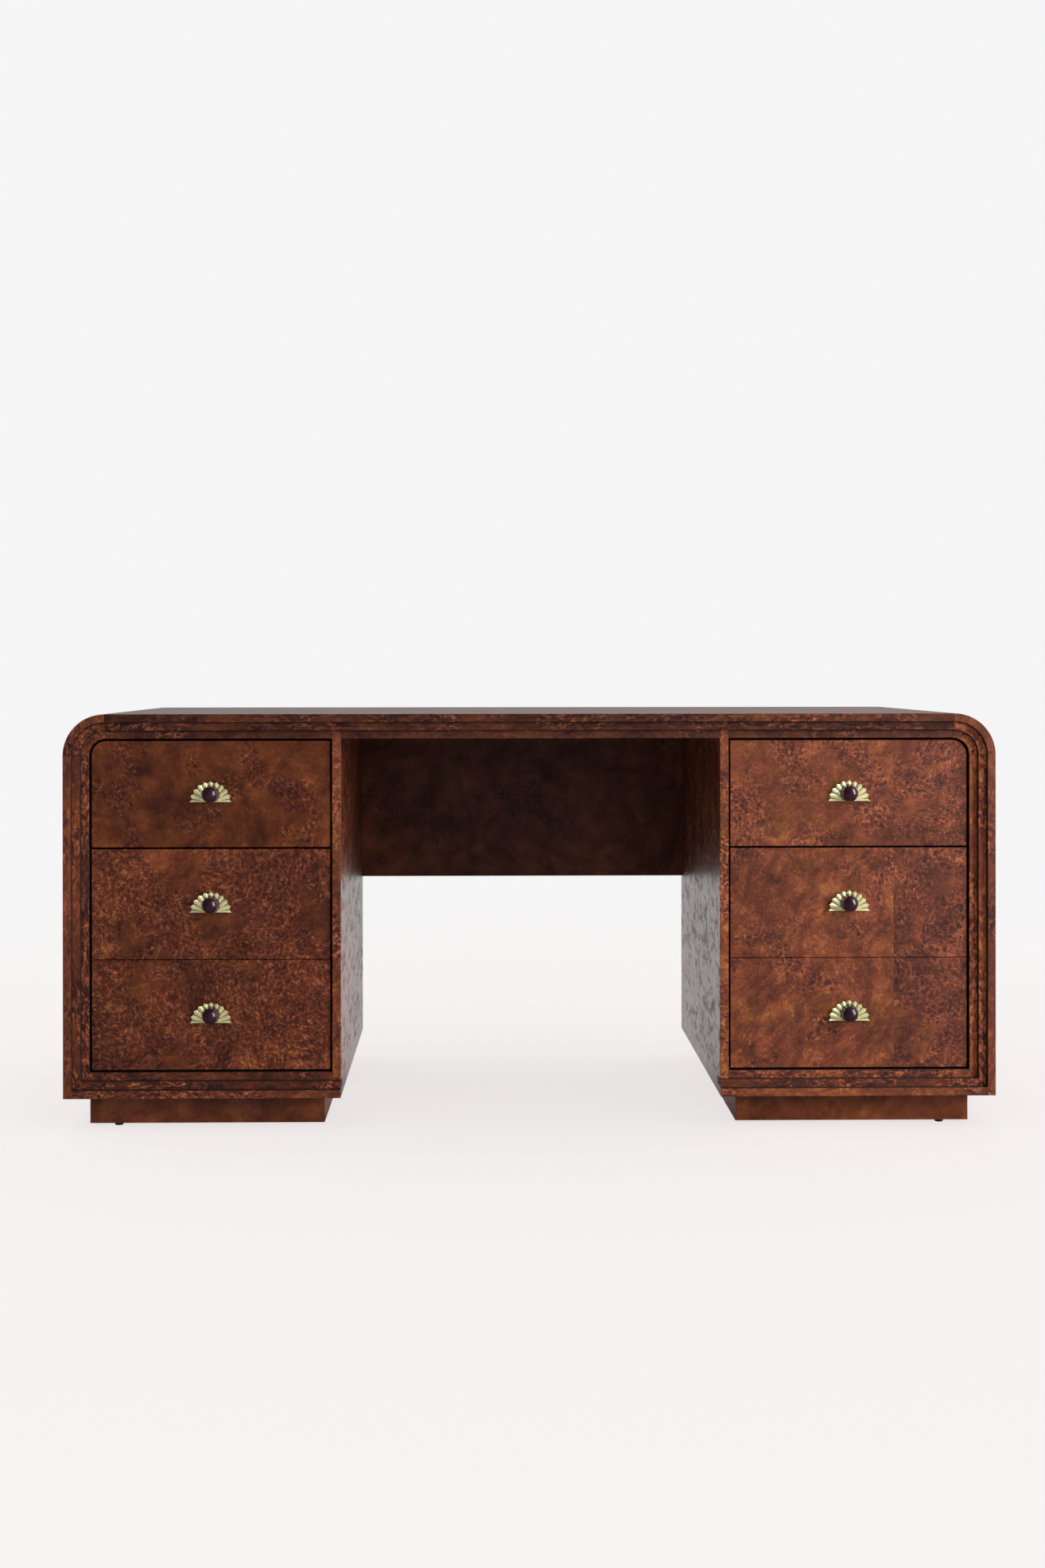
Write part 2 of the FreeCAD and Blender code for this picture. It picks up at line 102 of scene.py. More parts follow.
class Tree:
    """A node tree that is being wired."""

    def __init__(self, tree, cleared=True):
        self.tree = tree
        if cleared:
            self.tree.nodes.clear()

    def put(self, kind, feeds=(), out=0, **settings):
        """Add a node, feed its inputs by name or number, and return one output."""
        node = self.tree.nodes.new(kind)
        for name, value in settings.items():
            setattr(node, name, value)
        for name, value in dict(feeds).items():
            self.feed(node.inputs[name], value)
        return node.outputs[out] if node.outputs else node

    def feed(self, socket, value):
        if isinstance(value, bpy.types.NodeSocket):
            self.tree.links.new(value, socket)
        else:
            socket.default_value = value

    def math(self, operation, *values):
        return self.put("ShaderNodeMath", dict(enumerate(values)), operation=operation)

    def vector(self, operation, *values):
        return self.put("ShaderNodeVectorMath", dict(enumerate(values)), operation=operation)

    def part(self, place, axis):
        """One coordinate of a place."""
        return self.put("ShaderNodeSeparateXYZ", {0: place}, out=axis)

    def length(self, place):
        return self.put("ShaderNodeVectorMath", {0: place}, out="Value", operation="LENGTH")

    def swell(self, value, low, high, to_low=0, to_high=1):
        """Go smoothly from to_low to to_high while the value goes from low to high."""
        feeds = {0: value, 1: low, 2: high, 3: to_low, 4: to_high}
        return self.put("ShaderNodeMapRange", feeds, interpolation_type="SMOOTHSTEP")

    def swing(self, value, reach):
        """A noise, moved to swing about zero."""
        return self.math("MULTIPLY", self.math("SUBTRACT", value, 0.5), reach)

    def between(self, factor, first, second):
        return self.put("ShaderNodeMix", {0: factor, 2: first, 3: second}, data_type="FLOAT")

    def colour(self, factor, first, second):
        feeds = {0: factor, 6: first, 7: second}
        return self.put("ShaderNodeMix", feeds, out=2, data_type="RGBA")

    def ramp(self, value, stops):
        node = self.put("ShaderNodeValToRGB", {0: value}).node
        for position, tint in stops[1:-1]:
            node.color_ramp.elements.new(position)
        for element, (position, tint) in zip(node.color_ramp.elements, stops):
            element.position = position
            element.color = tint
        return node.outputs[0]

    def noise(self, place, scale, detail=2, roughness=0.5, out=0):
        feeds = {"Vector": place, "Scale": scale, "Detail": detail, "Roughness": roughness}
        return self.put("ShaderNodeTexNoise", feeds, out=out)


def new_group(name, kind, takes, gives):
    """A node group, its inputs and its outputs. Takes are (name, type, default)."""
    group = bpy.data.node_groups.new(name, kind)
    for label, sort, default in takes:
        socket = group.interface.new_socket(label, in_out="INPUT", socket_type="NodeSocket" + sort)
        if default is not None:
            socket.default_value = default
    for label, sort in gives:
        group.interface.new_socket(label, in_out="OUTPUT", socket_type="NodeSocket" + sort)
    tree = Tree(group)
    entry = group.nodes.new("NodeGroupInput")
    return tree, entry.outputs, group.nodes.new("NodeGroupOutput").inputs


# %% [markdown]
# Burl comes from a knotted growth. Its grain has no direction: the fibres
# curl round hundreds of small buds, which show as dark eyes in clusters, and
# between the clusters the wood is calm. An image of burl could be laid on each
# board, but it would repeat, and stretch round the bends. Solid noise fills
# the desk through and through as wood does, so the figure is noise, warped
# twice: a wide warp makes the swirls and a small one curls the fibres. A slower
# noise says where the wood is active. A scale counts a noise's waves in a metre.

# %% Swirls, curls and clusters
swirl_scale = 5
swirl_reach = 90 * MM
curl_scale = 52
curl_reach = 15 * MM
cluster_scale = 11
cluster_edge = 0.7
cluster_edge_drop = 0.4
cluster_softness = 0.1
cloud_scale = 24
cloud_reach = 0.7
mottle_scale = 150
speck_scale = 420
broken_range = (0.4, 0.6)


def warped(tree, at, scale, reach):
    """Places that a noise has pushed about, by up to half the reach each way."""
    push = tree.vector("SUBTRACT", tree.noise(at, scale, out=1), (0.5, 0.5, 0.5))
    long = tree.put("ShaderNodeVectorMath", {0: push, "Scale": reach}, operation="SCALE")
    return tree.vector("ADD", at, long)


def burl_noises(tree, take):
    """The noises that the parts of the figure share."""
    swirl = warped(tree, take["Vector"], swirl_scale, swirl_reach)
    curl = warped(tree, swirl, curl_scale, curl_reach)
    drop = tree.math("MULTIPLY", take["Clusters"], cluster_edge_drop)
    edge = tree.math("SUBTRACT", cluster_edge, drop)
    growth = tree.noise(swirl, cluster_scale, 3, 0.6)
    mottle = tree.noise(curl, mottle_scale, 4, 0.7)
    return {
        "swirl": swirl,
        "curl": curl,
        "active": tree.swell(growth, edge, tree.math("ADD", edge, cluster_softness)),
        "cloud": tree.swing(tree.noise(curl, cloud_scale, 4, 0.6), cloud_reach),
        "mottle": mottle,
        "speck": tree.noise(curl, speck_scale, 2, 0.6),
        "broken": tree.swell(mottle, *broken_range),
    }


print("a swirl is about", round(1 / swirl_scale / MM), "mm wide, a curl", round(1 / curl_scale / MM), "mm")

# %% [markdown]
# Light and dark come in layers: a slow tone, clouds, and a fine mottle that is
# busiest where the wood is active. On some leaves long slanting flames of
# plainer wood take the mottle's place. The fibres' curls are thin pale lines in
# two sizes. Each lies where a noise passes its middle value, because that
# happens along winding curves, as fibres wind.

# %% Light and dark in the burl
tone_scale = 6
tone_reach = 0.6
mottle_reach = 1.4
speck_reach = 0.7
active_darkening = -0.06
calm_busyness = 0.35
flame_busyness = 0.7
flame_scale = 64
flame_slant = radians(32)
flame_length = 4
flame_warp_scale = 9
flame_warp_reach = 80 * MM
flame_left_in_clusters = 0.25
fine_line_scale = 120
fine_line_width = 0.1
fine_line_strength = 0.18
wide_line_scale = 40
wide_line_width = 0.05
wide_line_in_calm = 0.2
wide_line_in_clusters = 0.27


def fine_figure(tree, take, wood, busy):
    """Mottle and specks, with long flames in the calm wood of some leaves."""
    slant = {
        "Vector": warped(tree, wood["swirl"], flame_warp_scale, flame_warp_reach),
        "Rotation": (0, flame_slant, 0),
        "Scale": (1, 1, flame_length),
    }
    slant = tree.put("ShaderNodeMapping", slant, vector_type="TEXTURE")
    flames = tree.noise(slant, flame_scale, 5, 0.62)
    faint = tree.math("MULTIPLY", take["Flame"], flame_left_in_clusters)
    flame = tree.between(wood["active"], take["Flame"], faint)
    mottle = tree.swing(tree.between(flame, wood["mottle"], flames), mottle_reach)
    specks = tree.swing(wood["speck"], speck_reach)
    return tree.math("MULTIPLY", tree.math("ADD", mottle, specks), busy)


def pale_lines(tree, wood, busy, scale, width, strength):
    ridge = tree.math("ABSOLUTE", tree.swing(tree.noise(wood["curl"], scale, 3, 0.65), 2))
    broken = tree.math("MULTIPLY", busy, wood["broken"])
    lines = tree.math("MULTIPLY", tree.swell(ridge, width, 0), broken)
    return tree.math("MULTIPLY", lines, strength)


def burl_level(tree, take, wood):
    """How light the wood is, from near 0 for the darkest to 1 for the palest."""
    active = wood["active"]
    calm = tree.math("MULTIPLY_ADD", take["Flame"], flame_busyness, calm_busyness)
    busy = tree.math("MULTIPLY", tree.between(active, calm, 1), take["Busy"])
    fine_strength = tree.math("MULTIPLY", active, fine_line_strength)
    wide_strength = tree.between(active, wide_line_in_calm, wide_line_in_clusters)
    layers = [
        tree.swing(tree.noise(wood["swirl"], tone_scale, 3, 0.6), tone_reach),
        wood["cloud"],
        fine_figure(tree, take, wood, busy),
        pale_lines(tree, wood, busy, fine_line_scale, fine_line_width, fine_strength),
        pale_lines(tree, wood, busy, wide_line_scale, wide_line_width, wide_strength),
    ]
    level = tree.math("MULTIPLY_ADD", active, active_darkening, take["Light"])
    for layer in layers:
        level = tree.math("ADD", level, layer)
    return level


print("a flame is about", round(1 / flame_scale / MM), "mm wide, and", flame_length, "times as long")

# %% [markdown]
# The level picks a brown, and a slow cast tints it: the clusters are redder,
# calm wood is more ochre, and a few clouds are cool and dark. A cast multiplies
# the brown, which tints it and keeps its light and dark. Near-black patches are
# bark that the burl grew round.

# %% Colour in the burl
browns = [
    (0.05, srgb(40, 16, 12)),
    (0.28, srgb(66, 29, 17)),
    (0.5, srgb(91, 44, 24)),
    (0.7, srgb(119, 63, 35)),
    (1.0, srgb(168, 106, 64)),
]
cast_scale = 15
cast_offset = 0.07
cast_in_clusters = -0.14
cast_range = (0.34, 0.66)
ochre_reach = 0.5
red_cast = (1.07, 0.84, 0.84, 1)
ochre_cast = (1.08, 1.0, 0.64, 1)
cool_scale = 20
cool_range = (0.44, 0.32)
cool_strength = 0.8
cool_cast = (0.66, 0.56, 0.76, 1)
bark_scale = 15
bark_range = (0.3, 0.22)
bark_strength = 0.6
bark_black = srgb(30, 16, 16)


def burl_browns(tree, take, wood):
    """The wood's brown with its red, ochre and cool casts."""
    ochre = tree.swing(take["Ochre"], ochre_reach)
    cast = tree.math("ADD", tree.noise(wood["swirl"], cast_scale, 3, 0.6), ochre)
    cast = tree.math("ADD", cast, cast_offset)
    cast = tree.math("MULTIPLY_ADD", wood["active"], cast_in_clusters, cast)
    cast = tree.colour(tree.swell(cast, *cast_range), red_cast, ochre_cast)
    cool = tree.swell(tree.noise(wood["curl"], cool_scale, 4, 0.6), *cool_range)
    cast = tree.colour(tree.math("MULTIPLY", cool, cool_strength), cast, cool_cast)
    tinted = {0: 1, 6: tree.ramp(burl_level(tree, take, wood), browns), 7: cast}
    return tree.put("ShaderNodeMix", tinted, out=2, data_type="RGBA", blend_type="MULTIPLY")


def with_bark(tree, wood, colour):
    bark = tree.swell(tree.noise(wood["curl"], bark_scale, 3, 0.55), *bark_range)
    return tree.colour(tree.math("MULTIPLY", bark, bark_strength), colour, bark_black)


print("browns from dark to pale:", len(browns))

# %% [markdown]
# An eye is a bud cut through, with a soft core and a broken pale rim. Buds are
# strewn about but never overlap, and the cells of a Voronoi texture lie just
# so. The eyes are the cells' middles, in three sizes, and only where the wood
# is active. Each cell's own chance decides whether it has an eye, how large it
# is and which brown its heart has.

# %% Eyes in the burl
bud_warp_scale = 140
bud_warp_reach = 4.8 * MM
eye_scales = (220, 130, 85)
largest_eyes = (0.45, 0.48, 0.42)
eye_depths = (0.75, 0.9, 0.8)
smallest_eye = 0.05
eyed_chances = (0.4, 0.6)
growing_chances = (0.35, 1)
core_softness = 0.11
thin_core = 0.65
thin_specks = (0.2, 0.5)
rim_distance = 0.2
rim_width = 0.13
rim_strength = 0.32
rim_colour = srgb(142, 82, 50)
red_heart = srgb(78, 27, 20)
dark_heart = srgb(48, 18, 19)


def with_eyes(tree, take, wood, colour):
    """The colour with all its eyes, and the cores of the widest ones."""
    budding = warped(tree, wood["swirl"], bud_warp_scale, bud_warp_reach)
    for scale, largest, depth in zip(eye_scales, largest_eyes, eye_depths):
        cells = tree.put("ShaderNodeTexVoronoi", {"Vector": budding, "Scale": scale})
        chance = tree.put("ShaderNodeSeparateColor", {0: cells.node.outputs["Color"]}).node.outputs
        size = tree.swell(chance["Red"], *growing_chances, smallest_eye, largest)
        past_core = tree.math("SUBTRACT", cells, size)
        shown = tree.math("MULTIPLY", wood["active"], tree.swell(chance["Red"], *eyed_chances))
        core = tree.math("MULTIPLY", shown, tree.swell(past_core, core_softness, -core_softness))
        core = tree.math("MULTIPLY", core, tree.swell(wood["speck"], *thin_specks, thin_core, 1))
        rim = tree.math("ABSOLUTE", tree.math("SUBTRACT", past_core, rim_distance))
        rim = tree.math("MULTIPLY", tree.swell(rim, rim_width, 0), shown)
        rim = tree.math("MULTIPLY", rim, tree.math("MULTIPLY", wood["broken"], rim_strength))
        colour = tree.colour(rim, colour, rim_colour)
        heart = tree.colour(chance["Green"], red_heart, dark_heart)
        depth = tree.math("MULTIPLY", take["Eyes"], depth)
        colour = tree.colour(tree.math("MULTIPLY", core, depth), colour, heart)
    return colour, core


print("cells that may hold an eye:", [round(1 / scale / MM, 1) for scale in eye_scales], "mm wide")

# %% [markdown]
# One shader group holds the whole figure, so every board can read it. It gives
# a colour, a roughness and a height. The lacquer has sunk over the eyes and in
# patches, and it shines less there.

# %% The burl figure
mottle_dullness = 0.2
eye_dullness = 0.2
cloud_dullness = 0.25
mottle_height = 0.5


def build_burl():
    takes = [
        ("Vector", "Vector", None),
        ("Clusters", "Float", 0.5),
        ("Busy", "Float", 1.0),
        ("Flame", "Float", 0.0),
        ("Light", "Float", 0.5),
        ("Ochre", "Float", 0.5),
        ("Eyes", "Float", 1.0),
        ("Dullness", "Float", 0.48),
    ]
    gives = [("Color", "Color"), ("Roughness", "Float"), ("Height", "Float")]
    tree, take, give = new_group("Burl figure", "ShaderNodeTree", takes, gives)
    wood = burl_noises(tree, take)
    colour, core = with_eyes(tree, take, wood, burl_browns(tree, take, wood))
    dull = tree.math("MULTIPLY_ADD", core, eye_dullness, tree.swing(wood["mottle"], mottle_dullness))
    dull = tree.math("MULTIPLY_ADD", wood["cloud"], cloud_dullness, dull)
    height = tree.math("MULTIPLY", wood["mottle"], mottle_height)
    tree.feed(give["Color"], with_bark(tree, wood, colour))
    tree.feed(give["Roughness"], tree.math("ADD", take["Dullness"], dull))
    tree.feed(give["Height"], tree.math("SUBTRACT", height, core))
    return tree.tree


burl_figure = build_burl()
print("nodes in the burl figure:", len(burl_figure.nodes))

# %% [markdown]
# Plain wood grows in layers, so its figure is noise stretched a long way down
# the grain. A wave texture could draw the layers, but its bands are too even.
# The same group makes the maple of the drawer boxes and the black rails between
# them, with other colours. The grain runs along Z, and a Mapping node turns it
# to suit each board.

# %% The straight grain
drift_scale = 2.5
drift_reach = 60 * MM
grain_stretch = 0.06
pore_scale = 9
pore_range = (0.54, 0.64)
pore_dullness = 0.3
streak_range = (0.3, 0.7)
dark_streak_roughness = 0.5
pale_streak_roughness = 0.36
fine_grain_reach = 0.8


def build_straight_grain():
    takes = [
        ("Vector", "Vector", None),
        ("Dark", "Color", srgb(196, 158, 112)),
        ("Pale", "Color", srgb(226, 194, 150)),
        ("Width", "Float", 60.0),
        ("Pores", "Float", 0.5),
    ]
    gives = [("Color", "Color"), ("Roughness", "Float"), ("Height", "Float")]
    tree, take, give = new_group("Straight grain", "ShaderNodeTree", takes, gives)
    drift = tree.swing(tree.noise(take["Vector"], drift_scale, out=1), drift_reach)
    drift = tree.put("ShaderNodeCombineXYZ", {"X": drift, "Y": drift})
    place = tree.vector("MULTIPLY", tree.vector("ADD", take["Vector"], drift), (1, 1, grain_stretch))
    streak = tree.noise(place, take["Width"], 5, 0.6)
    fine = tree.noise(place, tree.math("MULTIPLY", take["Width"], pore_scale), 3, 0.6)
    pores = tree.math("MULTIPLY", tree.swell(fine, *pore_range), take["Pores"])
    level = tree.math("ADD", tree.swell(streak, *streak_range), tree.swing(fine, fine_grain_reach))
    colour = tree.colour(level, take["Dark"], take["Pale"])
    rough = tree.swell(streak, *streak_range, dark_streak_roughness, pale_streak_roughness)
    tree.feed(give["Color"], tree.colour(pores, colour, take["Dark"]))
    tree.feed(give["Roughness"], tree.math("MULTIPLY_ADD", pores, pore_dullness, rough))
    tree.feed(give["Height"], tree.math("SUBTRACT", 0, pores))
    return tree.tree


straight_grain = build_straight_grain()
print("nodes in the straight grain:", len(straight_grain.nodes))

# %% [markdown]
# The bands round the front are made up of lengths: an upright, a bend and a
# foot rail, with butt joints at both ends of the bend and a mitre at the
# bottom corner. Each length is cut from another place in the veneer, and on
# the straight ones the figure is drawn out along the length. A fine dark glue
# line shows at each joint. A dark line is also painted in the inner corner of
# each step, all round the front, as painted shade where the step meets the band
# behind it. These lines could be cut into the mesh. A group that works out from
# a place which length it is on, and how near it is to a line, needs no more
# faces and serves every band.

# %% The lengths of a band
bend_low, bend_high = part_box("right_corner_bend")
band_places = {
    "Half Width": bend_high.x,
    "Floor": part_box("right_base_panel")[0].z,
    "Bend X": bend_low.x,
    "Bend Z": bend_low.z,
    "Band": 15.25 * MM,
    "Line": 1 * MM,
    "Shaded Crease": 1.6 * MM,
}
bands_in_case = 3
figure_on_lengths = 0.5


def build_lengths():
    takes = [("Vector", "Vector", None)]
    takes += [(label, "Float", place) for label, place in band_places.items()]
    gives = [("Shift", "Vector"), ("Stretch", "Vector"), ("Line", "Float"), ("Foot", "Float")]
    tree, take, give = new_group("Band lengths", "ShaderNodeTree", takes, gives)
    height = tree.part(take["Vector"], "Z")
    across = tree.math("ABSOLUTE", tree.part(take["Vector"], "X"))
    past_bend_x = tree.math("SUBTRACT", across, take["Bend X"])
    past_bend_z = tree.math("SUBTRACT", height, take["Bend Z"])
    up = tree.math("SUBTRACT", height, take["Floor"])
    past_mitre = tree.math("ADD", tree.math("SUBTRACT", up, take["Half Width"]), across)

    def beyond(value):
        return tree.math("GREATER_THAN", value, 0)

    def near(value, reach):
        return tree.swell(tree.math("ABSOLUTE", value), reach, 0)

    # Which length a spot is on, and how its figure is read
    foot_height = tree.math("MULTIPLY", take["Band"], bands_in_case)
    low = beyond(tree.math("SUBTRACT", foot_height, up))
    foot = tree.math("MULTIPLY", low, tree.math("LESS_THAN", past_mitre, 0))
    corner = tree.math("MULTIPLY", beyond(past_bend_x), beyond(past_bend_z))
    level = tree.math("MAXIMUM", foot, tree.math("SUBTRACT", beyond(past_bend_z), corner))
    upright = tree.math("SUBTRACT", tree.math("SUBTRACT", 1, level), corner)
    shift = {"X": beyond(past_bend_z), "Y": foot, "Z": beyond(past_bend_x)}
    stretch = {
        "X": tree.math("MULTIPLY_ADD", level, figure_on_lengths - 1, 1),
        "Y": 1,
        "Z": tree.math("MULTIPLY_ADD", upright, figure_on_lengths - 1, 1),
    }
    tree.feed(give["Shift"], tree.put("ShaderNodeCombineXYZ", shift))
    tree.feed(give["Stretch"], tree.put("ShaderNodeCombineXYZ", stretch))
    tree.feed(give["Foot"], foot)

    # The glue lines at both ends of the bend and at the mitre
    bend = tree.math("MULTIPLY", near(past_bend_z, take["Line"]), beyond(past_bend_x))
    top = tree.math("MULTIPLY", near(past_bend_x, take["Line"]), beyond(past_bend_z))
    mitre = tree.math("MULTIPLY", near(past_mitre, take["Line"]), low)
    joint = tree.math("MAXIMUM", mitre, tree.math("MAXIMUM", bend, top))

    # The painted shade in the steps' creases lies a whole number of bands inside the outline
    outwards = tree.put("ShaderNodeCombineXYZ", {
        "X": tree.math("MAXIMUM", past_bend_x, 0),
        "Y": tree.math("MAXIMUM", past_bend_z, 0),
    })
    radius = tree.math("SUBTRACT", take["Half Width"], take["Bend X"])
    inset = tree.math("MINIMUM", tree.math("SUBTRACT", radius, tree.length(outwards)), up)
    step = tree.math("PINGPONG", inset, tree.math("MULTIPLY", take["Band"], 0.5))
    inside = beyond(tree.math("SUBTRACT", inset, take["Shaded Crease"]))
    in_front = tree.math("LESS_THAN", tree.part(take["Vector"], "Y"), 0)
    crease_shade = tree.math("MULTIPLY", near(step, take["Shaded Crease"]), tree.math("MULTIPLY", inside, in_front))
    # The line holds both the real glue lines and the painted shade in the creases
    tree.feed(give["Line"], tree.math("MAXIMUM", joint, crease_shade))
    return tree.tree


band_lengths = build_lengths()
print("nodes in the band lengths:", len(band_lengths.nodes))

# %% [markdown]
# Every board gets its own leaf of veneer: the same figure, read at another
# place, with its own amount of eyes and light. The lacquer is satin. Its low
# index of refraction keeps the front free of haze, and it still mirrors the
# pale room where the eye only grazes a surface, as on the desktop.

# %% Helpers for all materials
lacquer_index = 1.42


def finish(name):
    """A new material, its tree and its surface's inputs."""
    material = bpy.data.materials.new(name)
    material.use_nodes = True
    tree = Tree(material.node_tree)
    surface = tree.put("ShaderNodeBsdfPrincipled")
    tree.put("ShaderNodeOutputMaterial", {"Surface": surface})
    return material, tree, surface.node.inputs


def leaf_place(name):
    """A place in the figure for one board, worked out from its name."""
    total = sum(ord(letter) * (spot + 1) for spot, letter in enumerate(name))
    return (total % 17 * 0.61, total % 13 * 0.83, total % 11 * 0.47)


def object_place(tree, shift=(0, 0, 0), turn=(0, 0, 0)):
    place = tree.put("ShaderNodeTexCoord", out="Object")
    return tree.put("ShaderNodeMapping", {"Vector": place, "Location": shift, "Rotation": turn})


def figure(tree, group, place, values):
    node = tree.put("ShaderNodeGroup", node_tree=group).node
    tree.feed(node.inputs["Vector"], place)
    for label, value in values.items():
        tree.feed(node.inputs[label], value)
    return node.outputs


def lacquer(tree, surface, look, relief):
    tree.feed(surface["Base Color"], look["Color"])
    tree.feed(surface["Roughness"], look["Roughness"])
    bump = {"Strength": 1, "Distance": relief, "Height": look["Height"]}
    tree.feed(surface["Normal"], tree.put("ShaderNodeBump", bump))
    surface["IOR"].default_value = lacquer_index


def dress(name, material):
    nodes[name].material_slots[0].material = material


print("where the desktop's leaf is read:", leaf_place("desktop_panel_veneer"))

# %% [markdown]
# A board can carry more than one leaf. Past a split another leaf begins, as
# where the edge's veneer meets the face's. A band's front edge reads the
# figure in lengths. Behind the gaps round the drawers the boards are painted
# near black, as painted shade, so that the gaps stay dark lines. On the
# kneehole's walls the lacquer sank into the grain in dull dashes, which break
# up the mirrored room.

# %% Burl veneer
leaf_parts = ("Clusters", "Busy", "Light", "Flame", "Ochre", "Eyes", "Dullness")
burl_relief = 0.12 * MM
foot_darkening = -0.16
# The darkening of the glue lines and of the painted shade in the steps' creases
line_strength = 0.85
line_colour = srgb(20, 8, 6)
# Painted shade: the near black of the boards behind the gaps round the drawers
gap_shade_colour = srgb(10, 5, 4)
dash_scale = 210
dash_stretch = (1, 0.1, 0.25)
dash_range = (0.48, 0.68)
dash_dullness = 0.22


def past_place(tree, here, axis, position, way=1):
    """1 past a position along an axis, counted in the way given, and 0 before it."""
    along = tree.math("MULTIPLY", tree.part(here, axis), way)
    return tree.math("GREATER_THAN", along, position * way)


def split_leaf(tree, here, place, values, axis, position, changes):
    """Begin another leaf past a position, and say where it lies."""
    beyond = past_place(tree, here, axis, position)
    for label, change in changes.items():
        values[label] = tree.between(beyond, values[label], change)
    return tree.vector("ADD", place, tree.put("ShaderNodeCombineXYZ", {"Y": beyond})), beyond


def dull_dashes(tree, place, values, beyond):
    drawn_out = tree.vector("MULTIPLY", place, dash_stretch)
    dashes = tree.swell(tree.noise(drawn_out, dash_scale, 4, 0.65), *dash_range)
    dashes = tree.math("MULTIPLY", dashes, beyond)
    values["Dullness"] = tree.math("MULTIPLY_ADD", dashes, dash_dullness, values["Dullness"])


def run_along(tree, here, place, lengths, edge):
    """Read the figure in lengths, and drawn out along them up to the edge's depth."""
    on_edge = tree.math("LESS_THAN", tree.part(here, "Y"), edge)
    drawn = {0: on_edge, 4: (1, 1, 1), 5: lengths["Stretch"]}
    drawn = tree.put("ShaderNodeMix", drawn, out=1, data_type="VECTOR")
    return tree.vector("MULTIPLY", tree.vector("ADD", place, lengths["Shift"]), drawn)


def burl(name, leaf, edge=None, split=None, dashed=False, painted_shade_past=(), relief=burl_relief):
    """One board's veneer. An edge is the depth of a band's front face, a split is
    (axis, position, changes), and past all places (axis, position, way) it is
    painted near black, as painted shade in the gaps."""
    material, tree, surface = finish(name + "_veneer")
    values = dict(zip(leaf_parts, leaf))
    place = object_place(tree, leaf_place(name + "_veneer"))
    here = tree.put("ShaderNodeTexCoord", out="Object")
    if split:
        place, beyond = split_leaf(tree, here, place, values, *split)
        if dashed:
            dull_dashes(tree, place, values, beyond)
    if edge is not None:
        lengths = figure(tree, band_lengths, here, {})
        place = run_along(tree, here, place, lengths, edge)
        values["Light"] = tree.math("MULTIPLY_ADD", lengths["Foot"], foot_darkening, values["Light"])
    look = figure(tree, burl_figure, place, values)
    lacquer(tree, surface, look, relief)
    colour = look["Color"]
    # Glue lines, and painted shade in the creases of the steps
    if edge is not None:
        line = tree.math("MULTIPLY", lengths["Line"], line_strength)
        colour = tree.colour(line, colour, line_colour)
    # Painted shade: behind the gaps the board turns near black
    if painted_shade_past:
        in_gap_shade = 1
        for axis, position, way in painted_shade_past:
            in_gap_shade = tree.math("MULTIPLY", in_gap_shade, past_place(tree, here, axis, position, way))
        colour = tree.colour(in_gap_shade, colour, gap_shade_colour)
    tree.feed(surface["Base Color"], colour)
    return material


print("what a leaf sets:", ", ".join(leaf_parts))

# %% [markdown]
# Each pedestal has a top drawer and a deep file drawer, whose front has a
# groove that imitates two drawers. On the right, two leaves meet at an upright
# seam that runs down both fronts. A leaf is written as its clusters, busyness,
# light, flames, ochre, eyes and dullness.

# %% Drawer fronts
fronts = {
    "left_top_drawer_front": (0.55, 0.8, 0.46, 0.1, 0.7, 1.0, 0.34),
    "left_file_drawer_front": (0.85, 1.0, 0.5, 0.1, 0.6, 0.8, 0.4),
    "right_top_drawer_front": (0.6, 1.0, 0.58, 0.3, 0.45, 0.95, 0.56),
    "right_file_drawer_front": (0.45, 1.1, 0.56, 0.6, 0.35, 1.1, 0.58),
}
seam = 670 * MM
eyed_leaf = {"Clusters": 0.85, "Busy": 0.85, "Flame": 0.1, "Light": 0.53}
face_depth = 1 * MM


def behind_face(name):
    """The depth at which a board's front face ends."""
    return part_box(name)[0].y + face_depth


for name, leaf in fronts.items():
    split = ("X", seam, eyed_leaf) if name.startswith("right") else None
    # Behind its face each front is painted near black, as painted shade in the gaps
    dress(name, burl(name, leaf, split=split, painted_shade_past=[("Y", behind_face(name), 1)]))
print("drawer fronts:", len(fronts))

# %% [markdown]
# Three bands make the frame round the front, each set back behind the one
# outside it. Every length has its own leaf, and the right pedestal's leaves are
# mostly a little paler. The desktop is one board, so its leaf for the edge
# gives way to a calmer one for the top.

# %% Bands
top_bands = {
    "top_middle_moulding": (0.65, 1.5, 0.31, 0.1, 0.6, 0.8, 0.47),
    "top_inner_moulding": (0.65, 1.5, 0.35, 0.1, 0.6, 0.8, 0.52),
}
side_bands = {
    "corner_bend": (0.5, 1.3, 0.47, 0.1, 0.5, 0.8, 0.5),
    "side_panel": (0.5, 1.6, 0.55, 0.1, 0.35, 0.8, 0.7),
    "middle_moulding": (0.65, 1.8, 0.5, 0.1, 0.3, 0.8, 0.8),
    "inner_moulding": (0.65, 1.8, 0.5, 0.1, 0.3, 0.8, 0.8),
}
desktop_edge = (0.62, 1.35, 0.33, 0.1, 0.6, 0.8, 0.46)
desktop_top = {"Clusters": 0.5, "Light": 0.4, "Busy": 0.8}
usually_paler = 0.02
paler_at_right = {"side_panel": -0.02, "middle_moulding": 0.12, "inner_moulding": 0.18, "plinth": 0.04}


def leaf_for(side, board, leaf):
    clusters, busy, light, *others = leaf
    if side == "right":
        light += paler_at_right.get(board, usually_paler)
    return (clusters, busy, light, *others)


